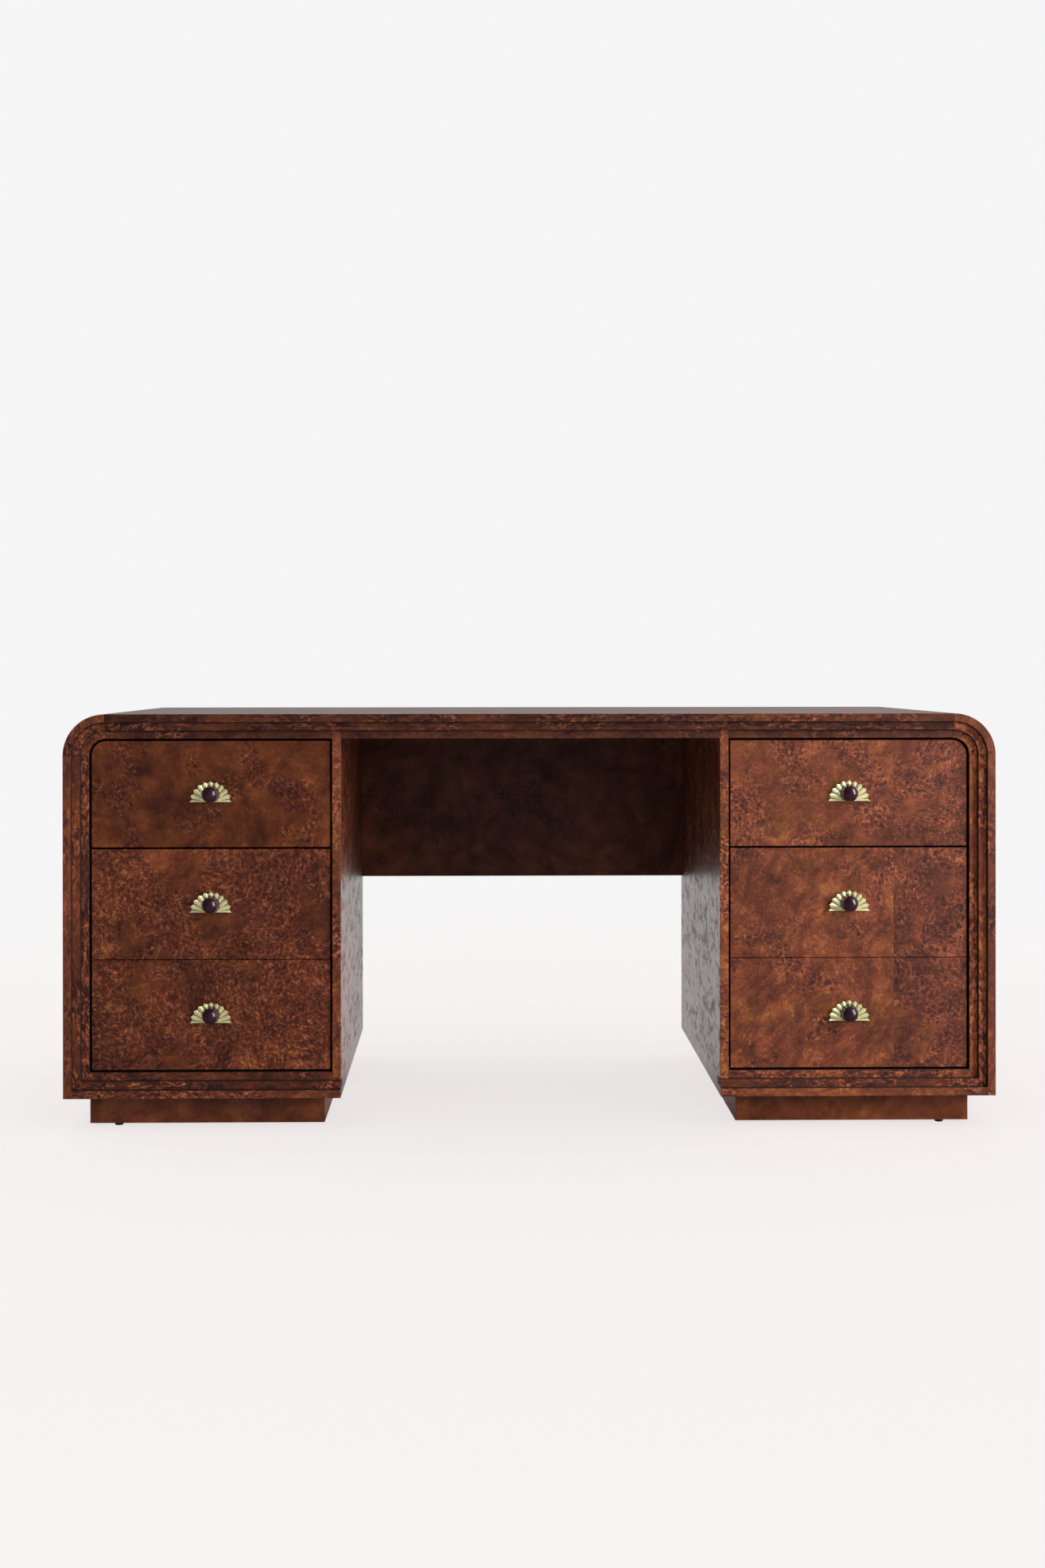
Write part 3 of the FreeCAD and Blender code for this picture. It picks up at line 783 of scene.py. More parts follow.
bands = dict(top_bands)
for side in ("left", "right"):
    bands.update({side + "_" + board: leaf_for(side, board, leaf) for board, leaf in side_bands.items()})
for name, leaf in bands.items():
    edge = behind_face(name)
    # The inner bands are painted near black behind their face, as painted shade in the gaps
    painted_shade_past = [("Y", edge, 1)] if name.endswith("inner_moulding") else ()
    dress(name, burl(name, leaf, edge=edge, painted_shade_past=painted_shade_past))
edge = behind_face("desktop_panel")
dress("desktop_panel", burl("desktop_panel", desktop_edge, edge=edge, split=("Y", edge, desktop_top)))
print("lengths of the bands:", len(bands) + 1)

# %% [markdown]
# The kneehole's walls are darker than the uprights that are their front edges,
# and shinier. A base board's end lies in the kneehole's wall and is finished
# like it. The modesty panel lies deep in shadow, with a calm smooth figure.

# %% Kneehole, backs and plinths
kneehole_panel = (0.55, 2.0, 0.63, 0.1, 0.5, 0.8, 0.56)
kneehole_wall = {"Light": 0.42, "Dullness": 0.3}
base_panel = (0.5, 1.6, 0.71, 0.1, 0.5, 0.8, 0.55)
modesty_panel = (0.3, 0.5, 0.38, 0.1, 0.5, 0.55, 0.3)
modesty_relief = 0.005 * MM
calm_boards = {
    "back_panel": (0.4, 0.6, 0.42, 0.1, 0.5, 0.8, 0.5),
    "plinth": (0.2, 0.6, 0.57, 0.1, 0.5, 0.8, 0.42),
}


def base_board(side):
    """A base board whose end in the kneehole is finished like the wall."""
    name = side + "_base_panel"
    low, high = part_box(name)
    values = dict(zip(leaf_parts, leaf_for(side, "base_panel", base_panel)))
    split = ("X", high.x - face_depth, kneehole_wall)
    if side == "right":
        split = ("X", low.x + face_depth, {label: values[label] for label in kneehole_wall})
        values.update(kneehole_wall)
    return burl(name, tuple(values.values()), edge=behind_face(name), split=split)


for side in ("left", "right"):
    name = side + "_kneehole_panel"
    low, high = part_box(name)
    inside = ("X", low.x + face_depth, -1) if side == "left" else ("X", high.x - face_depth, 1)
    behind = behind_face(name)
    split = ("Y", behind, kneehole_wall)
    # Painted shade: near black behind the face and on the side towards the drawers
    painted_shade_past = [inside, ("Y", behind, 1)]
    dress(name, burl(name, kneehole_panel, split=split, dashed=True, painted_shade_past=painted_shade_past))
    dress(side + "_base_panel", base_board(side))
    for board, leaf in calm_boards.items():
        name = side + "_" + board
        dress(name, burl(name, leaf_for(side, board, leaf)))
dress("modesty_panel", burl("modesty_panel", modesty_panel, relief=modesty_relief))
print("veneer materials:", len(bpy.data.materials))

# %% [markdown]
# Inside, the drawer boxes are pale maple with clear lacquer. The sides' grain
# runs from front to back and the ends' grain runs across, so the dovetails
# show which board is which. The divider rails are painted near black, as
# painted shade, because they close the gap between two drawer fronts, which
# stays a dark line.

# %% Maple, and the rails in painted shade
along_y = (radians(90), 0, 0)
along_x = (0, radians(90), 0)
maple = (srgb(196, 158, 112), srgb(226, 194, 150))
# Near black for the rails, as painted shade in the gaps between fronts
rail_gap_shade = (srgb(9, 6, 5), srgb(24, 16, 13))
maple_width = 45.0
rail_width = 120.0
plain_pores = 0.25
plain_relief = 0.05 * MM
plain_index = 1.4


def plain_wood(name, dark, pale, width, turn):
    material, tree, surface = finish(name)
    values = {"Dark": dark, "Pale": pale, "Width": width, "Pores": plain_pores}
    look = figure(tree, straight_grain, object_place(tree, leaf_place(name), turn), values)
    lacquer(tree, surface, look, plain_relief)
    surface["IOR"].default_value = plain_index
    return material


maple_along_y = plain_wood("maple_sides", *maple, maple_width, along_y)
maple_along_x = plain_wood("maple_ends", *maple, maple_width, along_x)
# The rails' near black is painted shade in the gaps
black_rail = plain_wood("black_rail", *rail_gap_shade, rail_width, along_x)
drawers = [side + "_" + kind for side in ("left", "right") for kind in ("top_drawer", "file_drawer")]
for drawer in drawers:
    dress(drawer + "_box_sides", maple_along_y)
    dress(drawer + "_box_ends", maple_along_x)
    dress(drawer + "_box_bottom", maple_along_x)
for side in ("left", "right"):
    dress(side + "_divider_rail", black_rail)
print("plain woods:", maple_along_y.name, maple_along_x.name, black_rail.name)

# %% [markdown]
# The metals differ in colour and in how far their surface scatters a lamp. A
# wide noise in the colour and the roughness stands for handling, and a fine
# one in the bump stands for the mill's finish. The knobs are dark resin under
# a clear coat, and the glides are black nylon.

# %% Metals, resin and nylon
handling_scale = 90
mill_scale = 900
handled_share = 0.8
handled_range = (0.35, 0.65)
rubbed_range = (0.3, 0.7)
metal_relief = 0.01 * MM
nylon_relief = 0.03 * MM


def hard_finish(name, tint, metallic, rough_low, rough_high, relief=0.0):
    material, tree, surface = finish(name)
    cloud = tree.noise(object_place(tree), handling_scale, 3)
    grain = tree.noise(object_place(tree), mill_scale, 2)
    darker = tuple(handled_share * part for part in tint[:3]) + (1,)
    tree.feed(surface["Base Color"], tree.colour(tree.swell(cloud, *handled_range), darker, tint))
    tree.feed(surface["Roughness"], tree.swell(cloud, *rubbed_range, rough_low, rough_high))
    bump = {"Strength": 1, "Distance": relief, "Height": grain}
    tree.feed(surface["Normal"], tree.put("ShaderNodeBump", bump))
    surface["Metallic"].default_value = metallic
    return material


satin_brass = hard_finish("satin_brass", srgb(250, 242, 184), 0.3, 0.3, 0.4, metal_relief)
zinc_steel = hard_finish("zinc_steel", srgb(196, 198, 202), 1.0, 0.3, 0.42, metal_relief)
rail_steel = hard_finish("rail_steel", srgb(70, 72, 76), 1.0, 0.38, 0.5, metal_relief)
dark_resin = hard_finish("dark_resin", srgb(50, 20, 36), 0.0, 0.24, 0.32)
black_nylon = hard_finish("black_nylon", srgb(26, 25, 25), 0.0, 0.5, 0.6, nylon_relief)
resin_coat = dark_resin.node_tree.nodes["Principled BSDF"].inputs
resin_coat["Coat Weight"].default_value = 0.5
resin_coat["Coat Roughness"].default_value = 0.22

for drawer in drawers:
    dress(drawer + "_runners", zinc_steel)
    dress(drawer + "_slides", zinc_steel)
    if drawer + "_file_rails" in nodes:
        dress(drawer + "_file_rails", rail_steel)
for side in ("left", "right"):
    dress(side + "_case_slides", zinc_steel)
print("materials in all:", len(bpy.data.materials))

# %% [markdown]
# The brass is dark in the bottom of each fold, partly as tarnish that polish
# never reaches and partly as painted shade, and in a ring round each knob as
# painted shade. Pointiness would find the folds too, but it changes with the
# fineness of the mesh. So the fans carry an attribute that says how dark a spot
# is painted, and the material reads it.

# %% Tarnish and painted shade on the brass
# How far and how dark the folds' tarnish and painted shade and the knob's ring of painted shade go
tarnish_and_shade_range = (0.34, 0.88)
tarnish_and_shade_strength = 0.95
tarnish_and_shade_colour = srgb(44, 34, 14)

brass = Tree(satin_brass.node_tree, cleared=False)
brass_surface = satin_brass.node_tree.nodes["Principled BSDF"].inputs
bright = brass_surface["Base Color"].links[0].from_socket
# The fans' attribute carries tarnish and painted shade, and darkens the brass
unpolished = brass.put("ShaderNodeAttribute", out="Fac", attribute_name="unpolished")
tarnish_and_shade_share = brass.math("MULTIPLY", brass.swell(unpolished, *tarnish_and_shade_range), tarnish_and_shade_strength)
brass.feed(brass_surface["Base Color"], brass.colour(tarnish_and_shade_share, bright, tarnish_and_shade_colour))
print("nodes in the brass:", len(satin_brass.node_tree.nodes))

# %% [markdown]
# Geometry trees make what repeats. A tree takes a few points, which say where
# the copies go, and its result is kept as a plain mesh.

# %% A helper that runs a geometry tree
def grow(name, points, tree, settings, edges=()):
    mesh = bpy.data.meshes.new(name)
    mesh.from_pydata([tuple(point) for point in points], list(edges), [])
    piece = bpy.data.objects.new(name, mesh)
    bpy.context.scene.collection.objects.link(piece)
    modifier = piece.modifiers.new("shape", "NODES")
    modifier.node_group = tree
    for socket in tree.interface.items_tree:
        if socket.in_out == "INPUT" and socket.name in settings:
            modifier[socket.identifier] = settings[socket.name]
    seen = piece.evaluated_get(bpy.context.evaluated_depsgraph_get())
    piece.data = bpy.data.meshes.new_from_object(seen)
    piece.modifiers.clear()
    print(name, len(piece.data.polygons), "faces")
    return piece


def copied(tree, points, pattern, material):
    """A copy of the pattern on each point, as real geometry with its material."""
    copies = tree.put("GeometryNodeInstanceOnPoints", {"Points": points, "Instance": pattern})
    real = tree.put("GeometryNodeRealizeInstances", {0: copies})
    return tree.put("GeometryNodeSetMaterial", {"Geometry": real, "Material": material})


# %% [markdown]
# A pull's back plate is a brass fan, pleated like paper. Every ridge and
# valley runs from the middle of its foot, the ridges end in points, and the
# rim dips between them. It could be modelled face by face, but the shape
# follows a rule, so a tree bends a grid into it: the grid's columns go round
# the half circle and its rows go outwards. Each point keeps how dark it is
# painted: tarnish and painted shade in the folds, painted shade round the knob.

# %% The pleated fan
knob_radius = 14.75 * MM
knob_above_foot = 14.7 * MM
rim_sharpness = 3.2
ridge_roundness = 0.75
# A ring of painted shade on the brass round the knob
knob_ring_shade_reach = 1.4
knob_ring_shade_strength = 0.8
weld_distance = 0.02 * MM


def build_fan():
    takes = [
        ("Geometry", "Geometry", None),
        ("Radius", "Float", 38.5 * MM),
        ("Pleats", "Int", 10),
        ("Steps", "Int", 8),
        ("Rows", "Int", 13),
        ("Rise", "Float", 6.4 * MM),
        ("Dip", "Float", 0.085),
        ("Metal", "Float", 1.6 * MM),
        ("Knob Radius", "Float", knob_radius),
        ("Knob Rise", "Float", knob_above_foot),
        ("Material", "Material", None),
    ]
    gives = [("Geometry", "Geometry")]
    tree, take, give = new_group("Pleated fan", "GeometryNodeTree", takes, gives)
    columns = tree.math("ADD", tree.math("MULTIPLY", take["Pleats"], take["Steps"]), 1)
    grid = {"Size X": 1, "Size Y": 1, "Vertices X": columns, "Vertices Y": take["Rows"]}
    sheet = tree.put("GeometryNodeMeshGrid", grid)
    at = tree.put("GeometryNodeInputPosition")
    around = tree.math("ADD", tree.part(at, "X"), 0.5)
    outward = tree.math("ADD", tree.part(at, "Y"), 0.5)

    # The wave is 1 on a ridge and 0 in a valley
    fold = tree.math("PINGPONG", tree.math("MULTIPLY", around, take["Pleats"]), 0.5)
    wave = tree.math("SUBTRACT", 1, tree.math("MULTIPLY", fold, 2))
    dip = tree.math("SUBTRACT", 1, tree.math("POWER", wave, rim_sharpness))
    dip = tree.math("MULTIPLY", dip, take["Dip"])
    share = tree.math("MULTIPLY", outward, tree.math("SUBTRACT", 1, dip))
    reach = tree.math("MULTIPLY", share, take["Radius"])
    slope = tree.math("MULTIPLY", tree.math("SUBTRACT", take["Rise"], take["Metal"]), share)
    ridge = tree.math("MULTIPLY", tree.math("POWER", wave, ridge_roundness), slope)
    rise = tree.math("ADD", ridge, take["Metal"])
    angle = tree.math("MULTIPLY", around, pi)
    across = tree.math("MULTIPLY", reach, tree.math("COSINE", angle))
    up = tree.math("MULTIPLY", reach, tree.math("SINE", angle))
    bent = tree.put("ShaderNodeCombineXYZ", {"X": across, "Y": tree.math("MULTIPLY", rise, -1), "Z": up})

    # Tarnish and painted shade in the folds, and painted shade in a ring round the knob
    above_knob = tree.math("SUBTRACT", up, take["Knob Rise"])
    from_knob = tree.length(tree.put("ShaderNodeCombineXYZ", {"X": across, "Y": above_knob}))
    in_knobs = tree.math("DIVIDE", from_knob, take["Knob Radius"])
    knob_ring_shade = tree.swell(in_knobs, knob_ring_shade_reach, 1, 0, knob_ring_shade_strength)
    unpolished = tree.math("MAXIMUM", tree.math("SUBTRACT", 1, wave), knob_ring_shade)
    marks = {"Geometry": sheet, "Name": "unpolished", "Value": unpolished}
    marked = tree.put("GeometryNodeStoreNamedAttribute", marks)

    # The bent sheet is the front, and its copy behind it closes the plate
    front = tree.put("GeometryNodeSetPosition", {"Geometry": marked, "Position": bent})
    back = tree.put("GeometryNodeFlipFaces", {0: front})
    extrusion = {"Mesh": back, "Offset": (0, 1, 0), "Offset Scale": take["Metal"], "Individual": False}
    body = tree.put("GeometryNodeExtrudeMesh", extrusion)
    both = tree.put("GeometryNodeJoinGeometry", {0: body})
    tree.feed(both.node.inputs[0], front)
    plate = tree.put("GeometryNodeMergeByDistance", {"Geometry": both, "Distance": weld_distance})
    tree.feed(give["Geometry"], copied(tree, take["Geometry"], plate, take["Material"]))
    return tree.tree


pleated_fan = build_fan()
print("nodes in the pleated fan:", len(pleated_fan.nodes))

# %% [markdown]
# A top drawer has one fan and a file drawer has two, one on each half of its
# front. The foot of each is a point that the tree puts a fan on.

# %% Fans on the drawers
def pull_feet(drawer):
    """The middle of each fan's foot, on the face of a drawer's front."""
    low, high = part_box(drawer + "_fans")
    front_low, front_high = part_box(drawer + "_front")
    count = 1 if "top" in drawer else 2
    spacing = (front_high.z - front_low.z) / count
    middle = (low.x + high.x) / 2
    return [Vector((middle, front_low.y, low.z + spacing * k)) for k in range(count)]


for drawer in drawers:
    low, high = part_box(drawer + "_fans")
    sizes = {"Radius": (high.x - low.x) / 2, "Rise": high.y - low.y, "Material": satin_brass}
    fans = grow(drawer + "_pleated_fans", pull_feet(drawer), pleated_fan, sizes)
    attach(fans, drawer)
    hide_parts(drawer + "_fans")

# %% [markdown]
# Knobs, floor glides and screws are all round, so each is an outline turned
# about an axis, as on a lathe. The outline is a short list of steps (out from
# the axis, along it), and the turned shape is then copied to its points by one
# geometry tree.

# %% Turning and copying
sharp_angle = radians(30)


def turned(name, outline, steps, axis):
    """A closed shape of revolution, smooth but for its sharp edges."""
    mesh = bmesh.new()
    side = axis.orthogonal().normalized()
    rims = [mesh.verts.new(side * out + axis * along) for out, along in outline]
    lines = [mesh.edges.new(pair) for pair in zip(rims, rims[1:])]
    bmesh.ops.spin(mesh, geom=rims + lines, cent=(0, 0, 0), axis=axis, angle=2 * pi, steps=steps)
    bmesh.ops.remove_doubles(mesh, verts=mesh.verts, dist=0.001 * MM)
    bmesh.ops.recalc_face_normals(mesh, faces=mesh.faces)
    for edge in mesh.edges:
        edge.smooth = len(edge.link_faces) == 2 and edge.calc_face_angle() < sharp_angle
    for face in mesh.faces:
        face.smooth = True
    data = bpy.data.meshes.new(name)
    mesh.to_mesh(data)
    mesh.free()
    return bpy.data.objects.new(name, data)


def build_copies():
    takes = [("Geometry", "Geometry", None), ("Pattern", "Object", None), ("Material", "Material", None)]
    tree, take, give = new_group("Copies on points", "GeometryNodeTree", takes, [("Geometry", "Geometry")])
    pattern = tree.put("GeometryNodeObjectInfo", {"Object": take["Pattern"]}, out="Geometry")
    tree.feed(give["Geometry"], copied(tree, take["Geometry"], pattern, take["Material"]))
    return tree.tree


copies_on_points = build_copies()
print("nodes in the copying tree:", len(copies_on_points.nodes))

# %% [markdown]
# The knob is a ball of dark resin, cut flat where its short neck meets the
# fan. It sits so low that it hides the point where the pleats meet.

# %% Knobs
knob_stand = 18.2 * MM
knob_neck = 4.6 * MM
neck_radius = 5 * MM
seat_ease = 0.4 * MM
seat_step = 0.3 * MM
ball_steps = 40
knob_facets = 64

away = Vector((0, -1, 0))
seat = (knob_radius ** 2 - (knob_stand - knob_neck) ** 2) ** 0.5
ball = [(0, 0), (neck_radius, 0), (neck_radius, knob_neck), (seat - seat_ease, knob_neck)]
for k in range(ball_steps + 1):
    angle = pi * k / ball_steps
    along = knob_stand - knob_radius * cos(angle)
    if along > knob_neck + seat_step:
        ball.append((knob_radius * sin(angle), along))
knob_pattern = turned("knob_pattern", ball, knob_facets, away)
for drawer in drawers:
    centres = [foot + Vector((0, 0, knob_above_foot)) for foot in pull_feet(drawer)]
    sizes = {"Pattern": knob_pattern, "Material": dark_resin}
    knobs = grow(drawer + "_turned_knobs", centres, copies_on_points, sizes)
    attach(knobs, drawer)
    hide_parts(drawer + "_knobs")

# %% [markdown]
# Four nylon glides stand under each plinth. Each is a low pad with a rounded
# lip, and it is dished a little underneath so that it slides on its rim.

# %% Floor glides
glide_radius = 8.5 * MM
glide_height = 4.5 * MM
glide_tip_radius = 7.2 * MM
glide_dish = 0.4 * MM
glide_facets = 40
glide_outline = [
    (0, glide_dish),
    (glide_tip_radius - 2.4 * MM, glide_dish),
    (glide_tip_radius - 1.4 * MM, 0),
    (glide_tip_radius - 0.5 * MM, 0),
    (glide_tip_radius, 0.3 * MM),
    (glide_radius - 0.2 * MM, 2.6 * MM),
    (glide_radius, 3.4 * MM),
    (glide_radius, glide_height),
    (0, glide_height),
]
inner_glide_inset = 9 * MM
inner_glide_from_end = 170 * MM
glide_pattern = turned("glide_pattern", glide_outline, glide_facets, Vector((0, 0, 1)))


def glide_middles():
    """The glides' centres: two under each plinth's outer board, two under its inner one."""
    low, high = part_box("floor_glides")
    middles = []
    for side, way in (("left", -1), ("right", 1)):
        plinth_low, plinth_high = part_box(side + "_plinth")
        outer = high.x - glide_radius
        inner = min(abs(plinth_low.x), abs(plinth_high.x)) + inner_glide_inset
        for y in (low.y + glide_radius, high.y - glide_radius):
            middles.append(Vector((way * outer, y, 0)))
        for y in (plinth_low.y + inner_glide_from_end, plinth_high.y - inner_glide_from_end):
            middles.append(Vector((way * inner, y, 0)))
    return middles


sizes = {"Pattern": glide_pattern, "Material": black_nylon}
glides = grow("turned_floor_glides", glide_middles(), copies_on_points, sizes)
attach(glides, "case")
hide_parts("floor_glides")

# %% [markdown]
# Each slide runs on steel balls, which a cage spaces evenly along its races.
# Placing them one by one would take a long list. Instead a line down the middle
# of each cage says where a row lies, and the tree sets a ball at every step
# along it. A ball is a small icosphere, because there are hundreds of them.

# %% A tree for rows of balls
ball_size = 4.2 * MM
ball_pitch = 12 * MM


def build_balls():
    takes = [
        ("Geometry", "Geometry", None),
        ("Pitch", "Float", ball_pitch),
        ("Ball", "Float", ball_size),
        ("Material", "Material", None),
    ]
    tree, take, give = new_group("Balls on lines", "GeometryNodeTree", takes, [("Geometry", "Geometry")])
    line = tree.put("GeometryNodeMeshToCurve", {0: take["Geometry"]})
    spacing = {"Curve": line, "Length": take["Pitch"]}
    spaced = tree.put("GeometryNodeResampleCurve", spacing, mode="LENGTH")
    ball = {"Radius": tree.math("MULTIPLY", take["Ball"], 0.5), "Subdivisions": 2}
    ball = tree.put("GeometryNodeMeshIcoSphere", ball)
    ball = tree.put("GeometryNodeSetShadeSmooth", {0: ball})
    tree.feed(give["Geometry"], copied(tree, spaced, ball, take["Material"]))
    return tree.tree


balls_on_lines = build_balls()
print("nodes in the tree for balls:", len(balls_on_lines.nodes))

# %% [markdown]
# The outer rows run in the back half of the slide's middle member and the
# inner rows in its front half, above and below the members that they carry.

# %% The slides' balls
slide_thickness = 12.7 * MM
outer_cage_shares = (0.52, 0.97)
inner_cage_shares = (0.03, 0.48)
cage_end = 4 * MM


def slide_walls(drawer):
    """The wall faces that a drawer's slides hang on, with the way off each."""
    low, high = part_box(drawer.split("_")[0] + "_case_slides")
    return [(low.x, 1), (high.x, -1)]


for drawer in drawers:
    runner_low, runner_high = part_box(drawer + "_runners")
    member_low, member_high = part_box(drawer + "_slides")
    length = runner_high.y - runner_low.y
    races = [
        (runner_low.z - ball_size / 2, outer_cage_shares),
        (runner_high.z + ball_size / 2, outer_cage_shares),
        (member_low.z - ball_size / 2, inner_cage_shares),
        (member_high.z + ball_size / 2, inner_cage_shares),
    ]
    ends = []
    for wall, way in slide_walls(drawer):
        x = wall + way * slide_thickness / 2
        for z, (start, stop) in races:
            ends.append((x, runner_low.y + start * length + cage_end, z))
            ends.append((x, runner_low.y + stop * length - cage_end, z))
    rows = [(k, k + 1) for k in range(0, len(ends), 2)]
    balls = grow(drawer + "_slide_balls", ends, balls_on_lines, {"Material": zinc_steel}, rows)
    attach(balls, drawer + "_runners")

# %% [markdown]
# Screws hold the drawer's slide member to the box, the front to the box's front
# end, and each knob to its front. Their heads are low domes with a round recess.

# %% A screw's head
head_radius = 3.6 * MM
head_height = 1.9 * MM
recess_floor = 0.7 * MM
recess_radius = 1 * MM
recess_foot_share = 0.9
recess_foot_rise = 0.2 * MM
crown_radius = 1.1 * MM
rim_height = 0.3 * MM
crown_steps = 4
head_facets = 18
head_outline = [
    (0, recess_floor),
    (recess_foot_share * recess_radius, recess_floor + recess_foot_rise),
    (recess_radius, head_height),
]
for k in range(crown_steps + 1):
    angle = pi / 2 * k / crown_steps
    head_outline.append((
        crown_radius + (head_radius - crown_radius) * sin(angle),
        head_height - (head_height - rim_height) * (1 - cos(angle)),
    ))
head_outline += [(head_radius, 0), (0, 0)]


def screw_pattern(name, axis):
    return turned(name, head_outline, head_facets, axis)


facing_right = screw_pattern("screw_facing_right", Vector((1, 0, 0)))
facing_left = screw_pattern("screw_facing_left", Vector((-1, 0, 0)))
facing_back = screw_pattern("screw_facing_back", Vector((0, 1, 0)))
print("points in a screw head's outline:", len(head_outline))

# %% [markdown]
# The slide's screws sit in a row along each member. The front's screws are
# driven from inside the box, near its corners, and one more goes through to
# each knob. Where a knob is above the box, its screw is in the front's back.

# %% Screws
member_screw_shares = (0.06, 0.3, 0.62, 0.94)
member_web = 1.3 * MM
box_board = 13 * MM
from_side = 60 * MM
from_bottom = 45 * MM
from_top = 35 * MM


def set_screws(name, spots, pattern, drawer):
    sizes = {"Pattern": pattern, "Material": zinc_steel}
    heads = grow(name, spots, copies_on_points, sizes)
    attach(heads, drawer)


def front_screws(drawer):
    """Places at the box's corners and behind each knob."""
    low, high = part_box(drawer + "_box_ends")
    y = low.y + box_board
    columns = (low.x + from_side, high.x - from_side)
    levels = (low.z + from_bottom, high.z - from_top)
    spots = [(x, y, z) for x in columns for z in levels]
    front_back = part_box(drawer + "_front")[1].y
    for foot in pull_feet(drawer):
        z = foot.z + knob_above_foot
        spots.append((foot.x, y if z < high.z - head_radius else front_back, z))
    return spots


for drawer in drawers:
    low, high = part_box(drawer + "_slides")
    for wall, way in slide_walls(drawer):
        x = wall + way * (slide_thickness - member_web)
        z = (low.z + high.z) / 2
        spots = [(x, low.y + share * (high.y - low.y), z) for share in member_screw_shares]
        name = drawer + ("_near" if way > 0 else "_far") + "_slide_screws"
        set_screws(name, spots, facing_left if way > 0 else facing_right, drawer)
    set_screws(drawer + "_front_screws", front_screws(drawer), facing_back, drawer)

# %% [markdown]
# The studio is a pale sheet of floor and a pale background behind the desk.
# The room in front of the desk is dim, so the fronts keep their depth of
# colour, and only what the eye grazes mirrors the pale side. The world lights
# the desk evenly with a weaker white than the background that is looked at.

# %% Background
background = srgb(245, 245, 245)
room_light = 0.4
dim_side = 0.02
dim_direction = -0.05
pale_direction = 0.4

world = bpy.data.worlds.new("studio")
bpy.context.scene.world = world
world.use_nodes = True
room = Tree(world.node_tree)
rays = room.put("ShaderNodeLightPath").node.outputs
direction = room.part(room.put("ShaderNodeTexCoord"), "Y")
pale_side = room.swell(direction, dim_direction, pale_direction, dim_side, 1)
mirrored = room.math("MULTIPLY", rays["Is Glossy Ray"], pale_side)
brightness = room.math("MAXIMUM", rays["Is Camera Ray"], mirrored)
shown = room.put("ShaderNodeBackground", {"Color": background, "Strength": brightness})
lit = room.put("ShaderNodeBackground", {"Color": (1, 1, 1, 1), "Strength": room_light})
looked_at = room.math("MAXIMUM", rays["Is Camera Ray"], rays["Is Glossy Ray"])
mixed = room.put("ShaderNodeMixShader", {0: looked_at, 1: lit, 2: shown})
room.put("ShaderNodeOutputWorld", {0: mixed})
print("background:", [round(part, 2) for part in background[:3]])

# %% [markdown]
# The floor fades into the background with distance, so no horizon shows. The
# lamps leave the floor out, so its only shadow is the soft one of the room's
# own light. A faint glow of the sheet stands for the lamplight: what is looked
# at is half the sheet's colour and most of the glow, which keeps the shadow
# faint, and the light that it sends up is weaker. Mirrored in the fronts, the
# floor before the desk is dim, as the room there is.

# %% Floor
floor_colour = srgb(249, 245, 245)
half_colour = tuple(part / 2 for part in floor_colour[:3]) + (1,)
floor_reach = 40
seen_glow = 0.79
unseen_glow = 0.34
fade_start = 1.5
fade_end = 4
dim_until = -0.4
pale_from = 0.4
dimming = 0.88

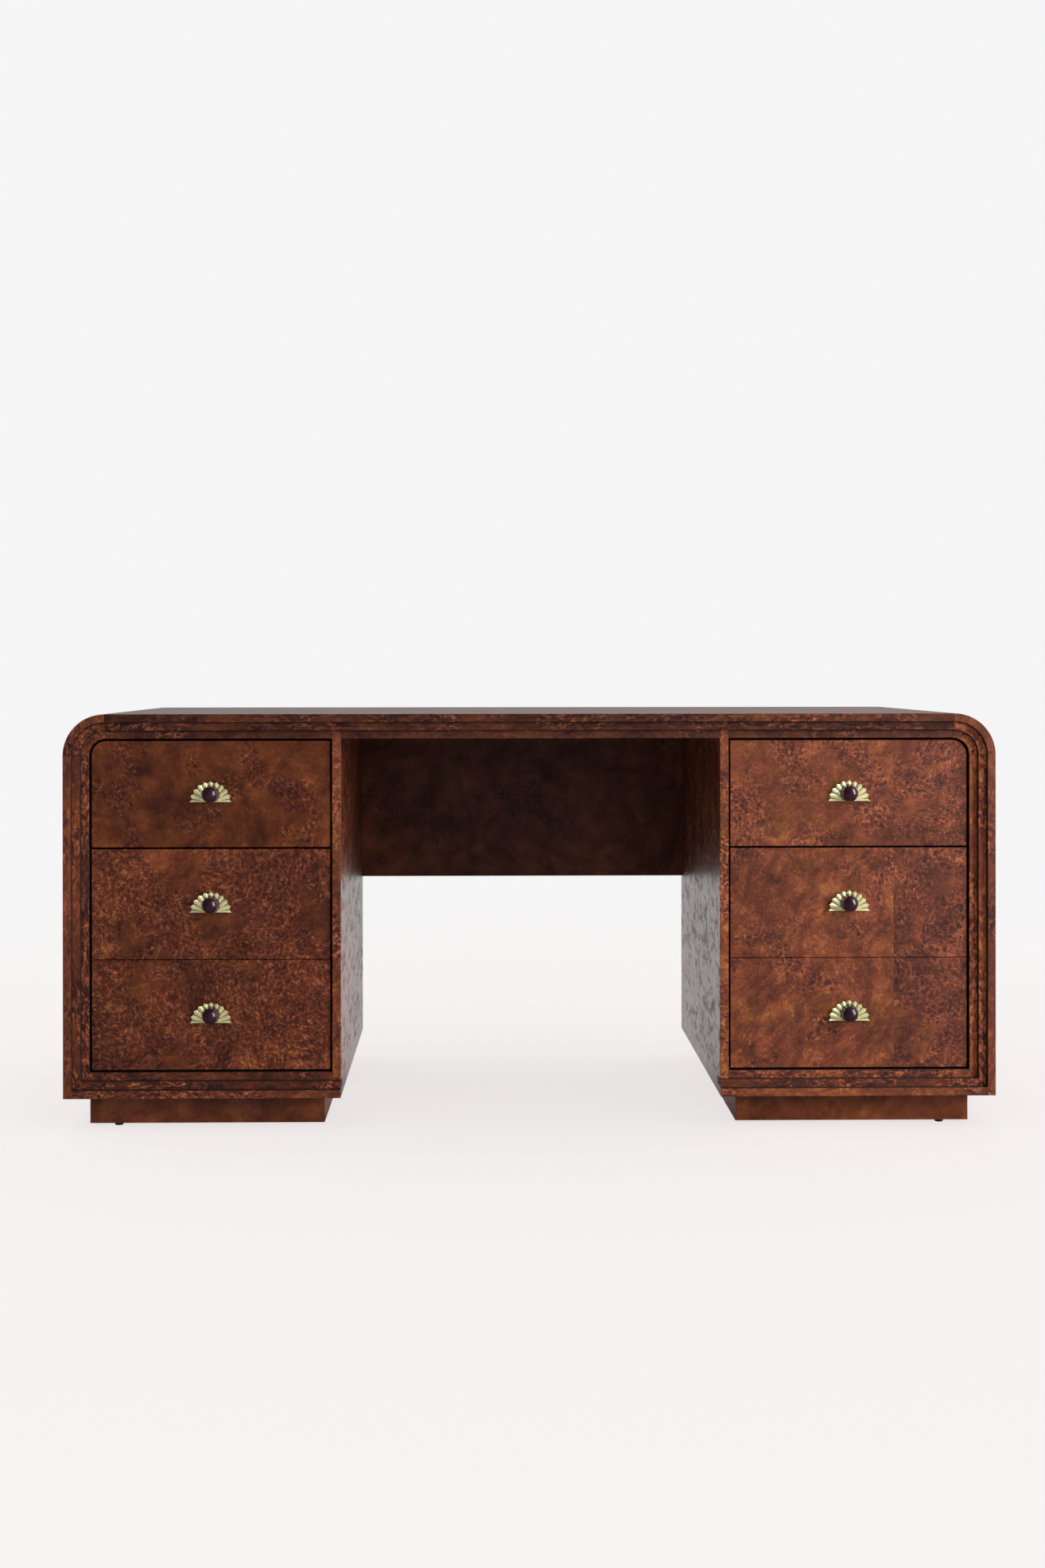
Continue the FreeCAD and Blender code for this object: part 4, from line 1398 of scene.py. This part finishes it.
material = bpy.data.materials.new("pale_floor")
material.use_nodes = True
tree = Tree(material.node_tree)
rays = tree.put("ShaderNodeLightPath").node.outputs
place = tree.put("ShaderNodeTexCoord", out="Object")
looked_at = tree.math("MAXIMUM", rays["Is Camera Ray"], rays["Is Glossy Ray"])
sheet = tree.put("ShaderNodeBsdfDiffuse", {"Color": tree.colour(looked_at, floor_colour, half_colour)})
strength = tree.between(looked_at, unseen_glow, seen_glow)
glow = tree.put("ShaderNodeEmission", {"Color": floor_colour, "Strength": strength})
near = tree.put("ShaderNodeAddShader", {0: sheet, 1: glow})
far = tree.put("ShaderNodeEmission", {"Color": background, "Strength": 1})
fade = tree.swell(tree.length(place), fade_start, fade_end)
ground = tree.put("ShaderNodeMixShader", {0: fade, 1: near, 2: far})
in_front = tree.swell(tree.part(place, "Y"), dim_until, pale_from, dimming, 0)
dimmed = tree.math("MULTIPLY", rays["Is Glossy Ray"], in_front)
nothing = tree.put("ShaderNodeEmission", {"Strength": 0})
seen = tree.put("ShaderNodeMixShader", {0: dimmed, 1: ground, 2: nothing})
tree.put("ShaderNodeOutputMaterial", {0: seen})

mesh = bpy.data.meshes.new("floor")
corners = [(x * floor_reach, y * floor_reach, 0) for x, y in ((-1, -1), (1, -1), (1, 1), (-1, 1))]
mesh.from_pydata(corners, [], [(0, 1, 2, 3)])
mesh.materials.append(material)
floor = bpy.data.objects.new("floor", mesh)
bpy.context.scene.collection.objects.link(floor)
print("floor:", 2 * floor_reach, "m wide")

# %% [markdown]
# One tall softbox stands at the right like a window. It rakes across the
# front, so the steps of the bands throw soft shadows, and it shows in each
# knob. A wide fill from the front lifts the shadows and shows in nothing.
# Light linking keeps both off the floor.

# %% Lamps
kept_from_lamps = bpy.data.collections.new("kept_from_lamps")
kept_from_lamps.objects.link(floor)
kept_from_lamps.collection_objects[0].light_linking.link_state = "EXCLUDE"


def softbox(name, place, target, size, power, in_mirrors):
    data = bpy.data.lights.new(name, "AREA")
    data.shape = "RECTANGLE"
    data.size, data.size_y = size
    data.energy = power
    lamp = bpy.data.objects.new(name, data)
    lamp.location = place
    lamp.rotation_euler = (Vector(target) - Vector(place)).to_track_quat("-Z", "Y").to_euler()
    lamp.visible_glossy = in_mirrors
    lamp.light_linking.receiver_collection = kept_from_lamps
    bpy.context.scene.collection.objects.link(lamp)


softbox(
    "window_light",
    place=(2.9, -1.8, 1.8),
    target=(0, 0, 0.6),
    size=(1.1, 3.4),
    power=150,
    in_mirrors=True,
)
softbox(
    "front_fill",
    place=(0.4, -4.6, 2.2),
    target=(0, 0, 0.4),
    size=(3, 2),
    power=40,
    in_mirrors=False,
)
bpy.context.scene.view_settings.view_transform = "Standard"
print("lamps:", len(bpy.data.lights))
